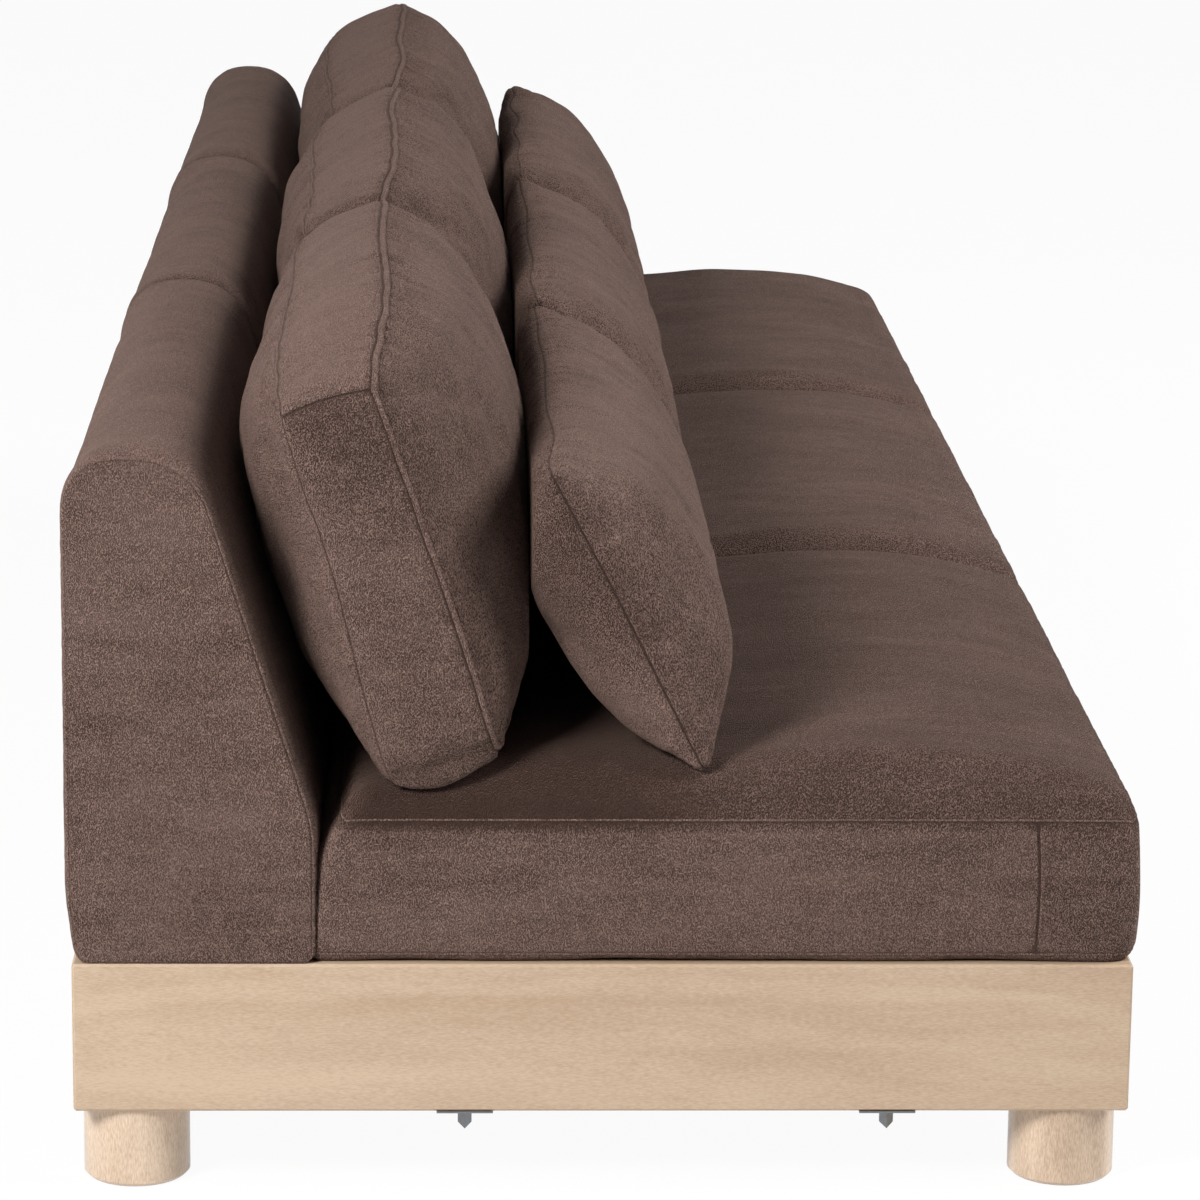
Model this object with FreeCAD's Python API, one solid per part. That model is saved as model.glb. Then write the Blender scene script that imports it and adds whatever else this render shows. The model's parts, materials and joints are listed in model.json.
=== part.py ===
"""Armless three-seat modular sofa: timber plinth modules hooked in a row, with loose cushions.

Millimetres, +Z up, +X along the row, the front faces -Y, the floor is Z = 0.
Sections are drawn as (setback, height): setback runs from the rear face of the base towards the front.
"""
import FreeCAD
import Part
import math
import os
from collections import namedtuple
from functools import partial

# Row of modules
module_names = ("left", "middle", "right")
module_width = 1016.0
module_gap = 0.6

# Timber base
base_depth = 1067.0
base_height = 155.0
board_thickness = 22.0
board_ease = 2.5
corner_block_side = 140.0
block_height = 60.0

# Round legs and the bolts that hold the legs and the back
leg_diameter = 108.0
leg_height = 83.5
leg_inset = 6.0
leg_ease = 4.0
bolt_diameter = 10.0
bolt_bite = 30.0
bolt_head_width = 17.0
bolt_head_height = 6.4
bolt_clearance = 0.25
bolt_end_room = 2.0
back_bolt_inset = 250.0

# Slatted deck inside the base
slat_count = 8
slat_width = 90.0
slat_thickness = 15.0
cleat_width = 60.0
cleat_height = 40.0

# Upholstered back, heights above the deck
back_depth = 248.0
back_height = 528.5
back_knee_height = 141.5
back_slope = 17.5
back_rear_overhang = 14.0
back_tuck_height = 66.0
back_tuck_radius = 160.0
back_rear_radius = 48.0
back_front_radius = 72.0
back_knee_radius = 130.0
back_hem_radius = 8.0
back_side_gap = 1.5
back_end_draw = 7.0
back_top_draw = 13.0
back_end_run = 60.0
back_foam = 30.0
rib_thickness = 18.0
rail_thickness = 45.0
rail_height = 60.0

# Steel connectors: prongs at the left end of a module drop into sockets at the right end of the next
connector_shares = (0.3693, 0.7704)
connector_width = 57.0
connector_length = 52.0
connector_thickness = 2.0
connector_block_width = 84.0
connector_block_length = 44.0
prong_width = 14.0
prong_fold = 7.0
prong_drop = 18.0
prong_point = 5.0
prong_setback = 5.0
tongue_width = 32.0
tongue_reach = 21.0
slot_clearance = 1.2
tongue_step_gap = 0.6
screw_diameter = 4.5
screw_length = 28.0
screw_head_diameter = 9.0
screw_head_height = 2.6
screw_spacing = 40.0
screw_inset = 36.0
screw_clearance = 0.1

# Clearance of a loose soft piece from what it rests on or leans on
soft_clearance = 0.3

# Seat cushion, heights above the deck
seat_side_gap = 1.5
seat_front_overhang = 8.0
seat_front_swell = 4.0
seat_corner_radius = 26.0
seat_seam_height = 145.5
seat_hem = 12.0
seat_roll = 46.0
seat_roll_rise = 32.0
seat_crown = 24.0
seat_crown_share = 0.35
seat_crown_end_run = 80.0
seat_core_inset = 50.0
seat_core_lift = 12.0
seat_core_height = 122.0

# Back cushion, a boxed cushion that leans on the back
back_cushion_side_gap = 6.0
back_cushion_height = 396.0
back_cushion_arch = 50.0
back_cushion_end_draw = 4.0
back_cushion_box = 112.0
back_cushion_box_swell = 8.0
back_cushion_rear_crown = 82.0
back_cushion_front_crown = 78.0
back_cushion_end_run = 200.0
back_cushion_corner_radius = 34.0
back_cushion_core_inset = 8.0
back_cushion_core_end_inset = 60.0

# Lumbar pillow, a knife-edge pillow that leans on the back cushion
pillow_side_gap = 34.0
pillow_height = 336.0
pillow_lean = 28.0
pillow_rear_crown = 84.0
pillow_front_crown = 76.0
pillow_edge_draw = 10.0
pillow_end_run = 120.0
pillow_corner_radius = 22.0
pillow_core_height = 190.0
pillow_core_thickness = 60.0
pillow_core_end_inset = 130.0

# Rings of a crowned panel as shares of its rise, and of the seat's rolled shoulder and slow crown
crown_steps = (0.0, 0.2, 0.4, 0.58, 0.74, 0.87, 0.95)
roll_angles = (22.5, 45.0, 67.5, 90.0)
seat_crown_steps = (0.25, 0.5, 0.75, 1.0)

# Chords of a cushion's round corner, and the share of a side that slopes at each end of a bent side
corner_chords = 3
bend_share = 0.3

# How far a face may be from a plane and still be made one
flatness = 1e-5

# Stations where the back's cover is drawn in towards its sewn ends, as degrees of an elliptic rise
back_station_angles = (8.0, 45.0, 90.0)

# Sides of a drawn bolt or screw shank, whose thread is left out
shank_sides = 8

# Fineness of the search for where a leaning cushion comes to rest
edge_samples = 20
settle_rounds = 12

# Places worked out from the sizes above
deck_height = leg_height + base_height
module_pitch = module_width + module_gap
row_length = len(module_names) * module_pitch - module_gap + tongue_reach
row_start = -row_length / 2
depth_middle = (base_depth + seat_front_overhang - back_rear_overhang) / 2
slope = math.radians(back_slope)
pillow_tilt = math.radians(pillow_lean)
bolt_length = block_height + bolt_bite
bolt_hole_radius = bolt_diameter / 2 + bolt_clearance
screw_hole_radius = screw_diameter / 2 + screw_clearance
leg_centre = leg_inset + leg_diameter / 2
cleat_top = deck_height - slat_thickness
prong_wall = connector_thickness * math.hypot(prong_fold, prong_width / 2) / (prong_width / 2)
seat_rear = back_depth + soft_clearance
seat_front = base_depth + seat_front_overhang - seat_front_swell
seat_crown_run = (seat_front - seat_rear) * seat_crown_share
connector_setbacks = [base_depth * share for share in connector_shares]

# A cushion's outline: its ends, low and high sides, corner radius and the slopes of its bent sides
Pad = namedtuple("Pad", "x0 x1 low high radius end_slope high_slope")


def point(x, setback, height):
    """A point of the model from its place along a module, its setback and its height."""
    return FreeCAD.Vector(row_start + x, depth_middle - setback, height)


def block(x0, x1, setback0, setback1, height0, height1):
    """A rectangular block between two opposite corners."""
    corner = point(x0, setback1, height0)
    return Part.makeBox(x1 - x0, setback1 - setback0, height1 - height0, corner)


def plan_prism(outline, height0, height1):
    """An upright prism over an outline of (x, setback) corners."""
    corners = [point(x, setback, height0) for x, setback in outline]
    face = Part.Face(Part.makePolygon(corners + corners[:1]))
    return face.extrude(FreeCAD.Vector(0, 0, height1 - height0))


def section_prism(outline, x0, x1):
    """A prism along the row over an outline of (setback, height) corners."""
    corners = [point(x0, setback, height) for setback, height in outline]
    face = Part.Face(Part.makePolygon(corners + corners[:1]))
    return face.extrude(FreeCAD.Vector(x1 - x0, 0, 0))


def upright_rod(radius, x, setback, height0, height1):
    """A round rod standing between two heights."""
    return Part.makeCylinder(radius, height1 - height0, point(x, setback, height0))


def peg(radius, x, setback, height0, height1):
    """A many-sided upright rod, for the shank of a bolt or screw or for its hole."""
    turns = [2 * math.pi * side / shank_sides for side in range(shank_sides)]
    outline = [(x + radius * math.cos(turn), setback + radius * math.sin(turn)) for turn in turns]
    return plan_prism(outline, height0, height1)


def wire_of(place, path):
    """A closed wire: each step of its path is an end point, or a through point and an end point."""
    edges = []
    start = place(*path[-1][-1])
    for step in path:
        end = place(*step[-1])
        if len(step) == 1:
            edges.append(Part.LineSegment(start, end).toShape())
        else:
            edges.append(Part.Arc(start, place(*step[0]), end).toShape())
        start = end
    return Part.Wire(edges)


def rounded_path(corners):
    """The path of an outline of (setback, height, radius) corners, with an arc in place of each corner."""
    path = []
    for index, (setback, height, radius) in enumerate(corners):
        here = FreeCAD.Vector(setback, height, 0)
        before = FreeCAD.Vector(*corners[index - 1][:2], 0) - here
        after = FreeCAD.Vector(*corners[(index + 1) % len(corners)][:2], 0) - here
        half_angle = before.getAngle(after) / 2
        before.normalize()
        after.normalize()
        middle = (before + after).normalize()
        trim = radius / math.tan(half_angle)
        crest = here + middle * (radius / math.sin(half_angle) - radius)
        first = here + before * trim
        last = here + after * trim
        path.append(((first.x, first.y),))
        path.append(((crest.x, crest.y), (last.x, last.y)))
    return path


def pad_shape(gap, low, high, radius, draw, swell):
    """A cushion's outline: ends drawn in between the corners, high side swelling out or drawn in."""
    length = module_width - 2 * gap - 2 * radius
    end_slope = draw / (bend_share * (high - low - 2 * radius))
    high_slope = swell / (bend_share * length)
    return Pad(gap, module_width - gap, low, high, radius, end_slope, high_slope)


def corner_spots(along, across, radius, first_angle):
    """Spots round a quarter-circle corner with its centre at (along, across)."""
    turns = [math.radians(first_angle + 90 * step / corner_chords) for step in range(corner_chords + 1)]
    return [(along + radius * math.cos(turn), across + radius * math.sin(turn)) for turn in turns]


def bent_side(start, end, slope):
    """The two spots where a side bends to its right by a slope, or none if it is straight."""
    if slope == 0:
        return []
    run = ((end[0] - start[0]) * bend_share, (end[1] - start[1]) * bend_share)
    first = (start[0] + run[0] + run[1] * slope, start[1] + run[1] - run[0] * slope)
    last = (end[0] - run[0] + run[1] * slope, end[1] - run[1] - run[0] * slope)
    return [first, last]


def pad_ring(shape, along_inset, across_inset):
    """One ring of a cushion: its outline drawn in, with every side parallel to the next ring's."""
    x0 = shape.x0 + along_inset + shape.radius
    x1 = shape.x1 - along_inset - shape.radius
    low = shape.low + across_inset + shape.radius
    high = shape.high - across_inset - shape.radius
    corners = [
        corner_spots(x1, low, shape.radius, -90),
        corner_spots(x1, high, shape.radius, 0),
        corner_spots(x0, high, shape.radius, 90),
        corner_spots(x0, low, shape.radius, 180),
    ]
    slopes = (-shape.end_slope, shape.high_slope, -shape.end_slope, 0)
    ring = []
    for corner, following, slope in zip(corners, corners[1:] + corners[:1], slopes):
        ring += corner + bent_side(corner[-1], following[0], slope)
    return ring


def pad(place, shape, levels):
    """A cushion as a ruled loft through its rings, with the flat faces between parallel sides made planes."""
    wires = []
    for depth, along_inset, across_inset in levels:
        ring = [place(depth, *spot) for spot in pad_ring(shape, along_inset, across_inset)]
        wires.append(Part.makePolygon(ring + ring[:1]))
    loft = Part.makeLoft(wires, True, True)
    faces = [Part.Face(face.findPlane(flatness), face.OuterWire) for face in loft.Faces]
    return Part.Solid(Part.Shell(faces))


def crown_rings(crown, along_reach, across_reach):
    """Depth and insets of the rings of a crowned panel: its section is a parabola cut off flat."""
    rings = []
    for step in crown_steps:
        share = 1 - math.sqrt(1 - step)
        rings.append((crown * step / crown_steps[-1], along_reach * share, across_reach * share))
    return rings


def base_boards():
    """Front, rear and end boards: a rounded frame cut apart along its four mitres."""
    outer = block(0, module_width, 0, base_depth, leg_height, deck_height)
    well = block(board_thickness, module_width - board_thickness, board_thickness,
                 base_depth - board_thickness, leg_height, deck_height)
    frame = outer.makeChamfer(board_ease, outer.Edges).cut(well)
    reach = 2 * board_thickness
    boards = {}
    for name, edge, inside in (("rear_apron", 0, reach), ("front_apron", base_depth, base_depth - reach)):
        outline = [(0, edge), (module_width, edge), (module_width - reach, inside), (reach, inside)]
        boards[name] = frame.common(plan_prism(outline, leg_height, deck_height))
    for name, edge, inside in (("prong_end_panel", 0, reach),
                               ("socket_end_panel", module_width, module_width - reach)):
        outline = [(edge, 0), (edge, base_depth), (inside, base_depth - reach), (inside, reach)]
        boards[name] = frame.common(plan_prism(outline, leg_height, deck_height))
    return boards


def corner_places():
    """The four corners of the base: (x, setback) of the inner corner and the way in along each."""
    for x, way_in in ((board_thickness, 1), (module_width - board_thickness, -1)):
        for setback, way_front in ((board_thickness, 1), (base_depth - board_thickness, -1)):
            yield x, setback, way_in, way_front


def leg_places():
    """The (x, setback) of each leg's axis."""
    for x in (leg_centre, module_width - leg_centre):
        for setback in (leg_centre, base_depth - leg_centre):
            yield x, setback


def back_bolt_places():
    """The (x, setback) of each bolt that holds the back down."""
    for x in (back_bolt_inset, module_width - back_bolt_inset):
        yield x, back_foam + rail_thickness / 2


def screw_places():
    """The (x, setback) of each connector screw, at both ends of the module."""
    for x in (screw_inset, module_width - screw_inset):
        for setback in connector_setbacks:
            yield x, setback - screw_spacing / 2
            yield x, setback + screw_spacing / 2


def glue_blocks():
    """Triangular blocks in the corners over the legs and straight blocks over the connectors."""
    blocks = []
    for x, setback, way_in, way_front in corner_places():
        outline = [(x, setback), (x + way_in * corner_block_side, setback),
                   (x, setback + way_front * corner_block_side)]
        blocks.append(plan_prism(outline, leg_height, leg_height + block_height))
    for x in (board_thickness, module_width - board_thickness - connector_block_length):
        for setback in connector_setbacks:
            half = connector_block_width / 2
            blocks.append(block(x, x + connector_block_length, setback - half, setback + half,
                                leg_height, leg_height + block_height))
    holes = [peg(bolt_hole_radius, x, setback, leg_height, leg_height + block_height)
             for x, setback in leg_places()]
    pilot_top = leg_height - connector_thickness + screw_length
    holes += [peg(screw_hole_radius, x, setback, leg_height, pilot_top)
              for x, setback in screw_places()]
    return [solid.cut(holes) for solid in blocks]


def legs():
    """Round legs with an eased foot and a bore for the bolt in the top."""
    solids = []
    for x, setback in leg_places():
        leg = upright_rod(leg_diameter / 2, x, setback, 0, leg_height)
        foot = [edge for edge in leg.Edges if edge.BoundBox.ZMax < leg_ease]
        leg = leg.makeChamfer(leg_ease, foot)
        bore_foot = leg_height - bolt_bite - bolt_end_room
        solids.append(leg.cut(peg(bolt_hole_radius, x, setback, bore_foot, leg_height)))
    return solids


def bolt(x, setback, seat, way):
    """A hex bolt whose head sits on a face at the seat height; way is the shank's direction, up or down."""
    corner = bolt_head_width / math.sqrt(3)
    ring = [math.radians(60 * step) for step in range(6)]
    outline = [(x + corner * math.cos(turn), setback + corner * math.sin(turn)) for turn in ring]
    head_ends = sorted((seat, seat - way * bolt_head_height))
    shank_ends = sorted((seat, seat + way * bolt_length))
    head = plan_prism(outline, *head_ends)
    return head.fuse(peg(bolt_diameter / 2, x, setback, *shank_ends))


def frame_bolts():
    """Bolts down through the corner blocks into the legs, and up through the rear cleat into the back."""
    down = [bolt(x, setback, leg_height + block_height, -1) for x, setback in leg_places()]
    up = [bolt(x, setback, cleat_top - cleat_height, 1) for x, setback in back_bolt_places()]
    return down + up


def deck_cleats():
    """Ledges inside the front and rear aprons and a cross beam under the middle of the deck."""
    rear = board_thickness
    front = base_depth - board_thickness - cleat_width
    holes = [peg(bolt_hole_radius, x, setback, cleat_top - cleat_height, cleat_top)
             for x, setback in back_bolt_places()]
    cleats = [block(board_thickness, module_width - board_thickness, setback, setback + cleat_width,
                    cleat_top - cleat_height, cleat_top) for setback in (rear, (rear + front) / 2, front)]
    return [cleat.cut(holes) for cleat in cleats]


def deck_slats():
    """Evenly spaced slats from front to rear, flush with the top of the base."""
    spacing = (module_width - 2 * board_thickness - slat_width) / (slat_count - 1)
    holes = [peg(bolt_hole_radius, x, setback, cleat_top, deck_height)
             for x, setback in back_bolt_places()]
    slats = []
    for index in range(slat_count):
        x = board_thickness + index * spacing
        slat = block(x, x + slat_width, board_thickness, base_depth - board_thickness, cleat_top, deck_height)
        slats.append(slat.cut(holes))
    return slats


def back_stations():
    """Places along the back and the swell of its section there: an elliptic rise over a run at each end."""
    start = math.cos(math.radians(back_station_angles[0]))
    rise = []
    for angle in back_station_angles:
        turn = math.radians(angle)
        rise.append((back_side_gap + back_end_run * (start - math.cos(turn)) / start, math.sin(turn)))
    return rise + [(module_width - place, swell) for place, swell in reversed(rise)]


def back_section(swell):
    """Outline of the upholstered back, drawn in where it is sewn to its end panels."""
    draw = back_end_draw * (1 - swell)
    top = deck_height + back_height - back_top_draw * (1 - swell)
    knee = deck_height + back_knee_height
    front = back_depth - draw
    rear = draw - back_rear_overhang
    front_top = front - (top - knee) * math.tan(slope)
    return rounded_path([
        (draw, deck_height, back_hem_radius),
        (front, deck_height, back_hem_radius),
        (front, knee, back_knee_radius),
        (front_top, top, back_front_radius),
        (rear, top, back_rear_radius),
        (rear, deck_height + back_tuck_height, back_tuck_radius),
    ])


def back_hollow_outline():
    """Outline of the timber frame inside the back, one foam thickness in from the cover."""
    top = deck_height + back_height - back_foam
    knee = deck_height + back_knee_height
    front = back_depth - back_foam
    slope_front = back_depth - back_foam / math.cos(slope)
    front_top = slope_front - (top - knee) * math.tan(slope)
    front_knee = knee - (front - slope_front) / math.tan(slope)
    return [(back_foam, deck_height), (front, deck_height), (front, front_knee), (front_top, top),
            (back_foam, top)]


def back_frame():
    """Plywood ribs cut to the shape of the back, joined by two bottom rails and a top rail."""
    outline = back_hollow_outline()
    first = back_side_gap + back_foam
    last = module_width - first
    top = deck_height + back_height - back_foam
    ends = (first + rib_thickness, last - rib_thickness)
    front = back_depth - back_foam - rail_thickness
    rails = [block(*ends, setback, setback + rail_thickness, foot, foot + rail_height)
             for setback, foot in ((back_foam, deck_height), (front, deck_height),
                                   (back_foam, top - rail_height))]
    middle = (module_width - rib_thickness) / 2
    ribs = [section_prism(outline, x, x + rib_thickness) for x in (first, middle, ends[1])]
    ribs[1] = ribs[1].cut(rails)
    bore_top = cleat_top - cleat_height + bolt_length + bolt_end_room
    bores = [peg(bolt_hole_radius, x, setback, deck_height, bore_top)
             for x, setback in back_bolt_places()]
    rails[0] = rails[0].cut(bores)
    return ribs + rails


def back_upholstery():
    """Foam and cover round the back frame, sewn in at both ends."""
    wires = []
    for inset, swell in back_stations():
        wires.append(wire_of(partial(point, inset), back_section(swell)))
    skin = Part.makeLoft(wires, True, True)
    first = back_side_gap + back_foam
    return skin.cut(section_prism(back_hollow_outline(), first, module_width - first))


def connector_plate(x0, x1, setback):
    """A steel plate under the base, with its two screw holes."""
    half = connector_width / 2
    plate = block(x0, x1, setback - half, setback + half, leg_height - connector_thickness, leg_height)
    holes = [peg(screw_hole_radius, x, spot, leg_height - connector_thickness, leg_height)
             for x, spot in screw_places()]
    return plate.cut(holes)


def connector_prongs():
    """Plates at the left end, each with a folded prong that hangs to a point."""
    solids = []
    half = prong_width / 2
    wall = prong_wall
    fold = prong_setback + prong_fold
    top = leg_height - connector_thickness
    foot = top - prong_drop
    for setback in connector_setbacks:
        outline = [(prong_setback, setback), (fold, setback + half), (fold + wall, setback + half),
                   (prong_setback + wall, setback), (fold + wall, setback - half), (fold, setback - half)]
        prong = plan_prism(outline, foot, top)
        for side in (setback - half, setback + half):
            corner = [(side, foot), (setback, foot), (side, foot + prong_point)]
            prong = prong.cut(section_prism(corner, 0, connector_length))
        solids.append(connector_plate(0, connector_length, setback).fuse(prong))
    return solids


def connector_sockets():
    """Plates at the right end, each stepped down to a tongue whose slot takes the next module's prong."""
    solids = []
    half = tongue_width / 2
    top = leg_height - connector_thickness - tongue_step_gap
    foot = top - connector_thickness
    slot_start = module_width + module_gap + prong_setback - slot_clearance
    slot_end = module_width + module_gap + prong_setback + prong_fold + prong_wall + slot_clearance
    slot_half = prong_width / 2 + slot_clearance
    for setback in connector_setbacks:
        plate = connector_plate(module_width - connector_length, module_width, setback)
        web = block(module_width - connector_thickness, module_width, setback - half, setback + half,
                    foot, leg_height - connector_thickness)
        tongue = block(module_width, module_width + tongue_reach, setback - half, setback + half, foot, top)
        slot = block(slot_start, slot_end, setback - slot_half, setback + slot_half, foot, top)
        solids.append(plate.fuse([web, tongue.cut(slot)]).removeSplitter())
    return solids


def connector_screws():
    """Pan-head screws up through the connector plates into their blocks."""
    seat = leg_height - connector_thickness
    screws = []
    for x, setback in screw_places():
        head = peg(screw_head_diameter / 2, x, setback, seat - screw_head_height, seat)
        shank = peg(screw_diameter / 2, x, setback, seat, seat + screw_length)
        screws.append(head.fuse(shank))
    return screws


def seat_levels():
    """Height and insets of the seat cushion's rings: hem, side, rolled shoulder and crown."""
    bottom = deck_height + soft_clearance
    seam = deck_height + seat_seam_height
    shoulder = seam + seat_roll_rise
    rings = [(bottom, seat_hem, seat_hem), (bottom + seat_hem, 0, 0), (seam, 0, 0)]
    for angle in roll_angles:
        turn = math.radians(angle)
        inset = seat_roll * (1 - math.cos(turn))
        rings.append((seam + seat_roll_rise * math.sin(turn), inset, inset))
    for step in seat_crown_steps:
        height = shoulder + seat_crown * (1 - (1 - step) ** 2)
        rings.append((height, seat_roll + seat_crown_end_run * step, seat_roll + seat_crown_run * step))
    return rings


def seat_top(setback):
    """Height of the seat's top at a setback, on the middle line of a module."""
    inset = min(setback - seat_rear, seat_front + seat_front_swell - setback)
    top_rings = [(height, across) for height, _, across in seat_levels()[2:]]
    height = top_rings[0][0]
    for (below, outer), (above, inner) in zip(top_rings, top_rings[1:]):
        share = min(max((inset - outer) / (inner - outer), 0), 1)
        height += (above - below) * share
    return height


def seat_place(height, along, across):
    """A point of the seat cushion: across is its setback."""
    return point(along, across, height)


def lean_spot(ahead, up, lean, origin):
    """(setback, height) of a cushion's spot, drawn upright and leaned to the rear about its origin."""
    setback = origin[0] + ahead * math.cos(lean) - up * math.sin(lean)
    height = origin[1] + ahead * math.sin(lean) + up * math.cos(lean)
    return setback, height


def profile_spots(shape, levels):
    """Evenly spread (ahead, up) spots round the widest section of a leaning cushion."""
    lower = []
    upper = []
    for depth, along_inset, across_inset in levels:
        heights = [up for _, up in pad_ring(shape, along_inset, across_inset)]
        lower.append((depth, min(heights)))
        upper.append((depth, max(heights)))
    corners = lower + upper[::-1]
    spots = []
    for start, end in zip(corners, corners[1:] + corners[:1]):
        for sample in range(edge_samples):
            share = sample / edge_samples
            spots.append(tuple(a + (b - a) * share for a, b in zip(start, end)))
    return spots


def settle(spots, lean, origin, way):
    """The origin moved along a way until the cushion's lowest spot rests on the seat."""
    setback, height = origin
    for _ in range(settle_rounds):
        places = [lean_spot(ahead, up, lean, (setback, height)) for ahead, up in spots]
        gap = min(level - seat_top(place) for place, level in places) - soft_clearance
        setback -= gap / way[1] * way[0]
        height -= gap
    return setback, height


def back_cushion_shape():
    """Outline of the back cushion at its seams, with an arched top."""
    return pad_shape(back_cushion_side_gap, 0, back_cushion_height, back_cushion_corner_radius,
                     back_cushion_end_draw, back_cushion_arch)


def back_cushion_levels():
    """Depth and insets of the back cushion's rings: rear panel, boxing and front panel."""
    half = back_cushion_height / 2
    rear = crown_rings(back_cushion_rear_crown, back_cushion_end_run, half)
    front = crown_rings(back_cushion_front_crown, back_cushion_end_run, half)
    levels = [(-depth, along, across) for depth, along, across in reversed(rear)]
    levels.append((back_cushion_box / 2, 0, -back_cushion_box_swell))
    levels += [(back_cushion_box + depth, along, across) for depth, along, across in front]
    return levels


def back_cushion_origin():
    """Lower rear seam of the back cushion, with its rear panel on the back and its underside on the seat."""
    push = back_cushion_rear_crown + soft_clearance
    knee = (back_depth, deck_height + back_knee_height)
    touching = lean_spot(push, 0, slope, knee)
    spots = profile_spots(back_cushion_shape(), back_cushion_levels())
    return settle(spots, slope, touching, (-math.tan(slope), 1))


def pillow_shape():
    """Outline of the pillow at its seam, drawn in between the corners at the ends and the top."""
    return pad_shape(pillow_side_gap, 0, pillow_height, pillow_corner_radius,
                     pillow_edge_draw, -pillow_edge_draw)


def pillow_levels():
    """Depth and insets of the pillow's rings: two crowned panels that meet at one seam."""
    half = pillow_height / 2
    rear = crown_rings(pillow_rear_crown, pillow_end_run, half)
    front = crown_rings(pillow_front_crown, pillow_end_run, half)
    return [(-depth, along, across) for depth, along, across in reversed(rear)] + front[1:]


def pillow_origin():
    """Lower seam of the pillow, with its rear panel on the back cushion and its edge on the seat."""
    back_spots = profile_spots(back_cushion_shape(), back_cushion_levels())
    origin = back_cushion_origin()
    back_front = max(lean_spot(ahead, up, slope, origin)[0] for ahead, up in back_spots)
    spots = profile_spots(pillow_shape(), pillow_levels())
    rear = min(lean_spot(ahead, up, pillow_tilt, (0, 0))[0] for ahead, up in spots)
    return settle(spots, pillow_tilt, (back_front + soft_clearance - rear, deck_height), (0, 1))


def seat_pieces():
    """Seat cushion cover and the foam block in it."""
    foot = deck_height + soft_clearance + seat_core_lift
    inset = seat_side_gap + seat_core_inset
    foam = block(inset, module_width - inset, seat_rear + seat_core_inset, seat_front - seat_core_inset,
                 foot, foot + seat_core_height)
    shape = pad_shape(seat_side_gap, seat_rear, seat_front, seat_corner_radius, 0, seat_front_swell)
    return {"seat_cushion": pad(seat_place, shape, seat_levels()).cut(foam), "seat_foam": foam}


def leaning_pieces(shape, levels, lean, origin, core, core_end_inset):
    """A leaning cushion's cover and the filling in it; core is (ahead, up) of two corners of the filling."""
    def place(ahead, along, up):
        return point(along, *lean_spot(ahead, up, lean, origin))

    (ahead0, up0), (ahead1, up1) = core
    corners = [(ahead0, up0), (ahead1, up0), (ahead1, up1), (ahead0, up1)]
    outline = [lean_spot(ahead, up, lean, origin) for ahead, up in corners]
    filling = section_prism(outline, shape.x0 + core_end_inset, shape.x1 - core_end_inset)
    return pad(place, shape, levels).cut(filling), filling


def back_cushion_pieces():
    """Boxed back cushion and the filled core between its seams."""
    inset = back_cushion_core_inset
    core = ((inset, inset), (back_cushion_box - inset, back_cushion_height - inset))
    cover, filling = leaning_pieces(back_cushion_shape(), back_cushion_levels(), slope, back_cushion_origin(),
                                    core, back_cushion_core_end_inset)
    return {"back_cushion": cover, "back_filling": filling}


def pillow_pieces():
    """Knife-edge lumbar pillow and its filling."""
    half = pillow_core_thickness / 2
    foot = (pillow_height - pillow_core_height) / 2
    core = ((-half, foot), (half, foot + pillow_core_height))
    cover, filling = leaning_pieces(pillow_shape(), pillow_levels(), pillow_tilt, pillow_origin(),
                                    core, pillow_core_end_inset)
    return {"lumbar_pillow": cover, "pillow_filling": filling}


def module():
    """Every piece of one module, by name, standing at the left end of the row."""
    pieces = dict(base_boards())
    groups = {
        "glue_blocks": glue_blocks,
        "legs": legs,
        "frame_bolts": frame_bolts,
        "deck_cleats": deck_cleats,
        "deck_slats": deck_slats,
        "back_frame": back_frame,
        "connector_prongs": connector_prongs,
        "connector_sockets": connector_sockets,
        "connector_screws": connector_screws,
    }
    for name, make in groups.items():
        pieces[name] = Part.makeCompound(make())
    pieces["back_upholstery"] = back_upholstery()
    pieces.update(seat_pieces())
    pieces.update(back_cushion_pieces())
    pieces.update(pillow_pieces())
    return pieces


os.makedirs("parts", exist_ok=True)
for name, shape in module().items():
    for index, place in enumerate(module_names):
        piece = shape.copy()
        piece.translate(FreeCAD.Vector(index * module_pitch, 0, 0))
        piece.exportStep(f"parts/{place}_{name}.step")
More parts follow.
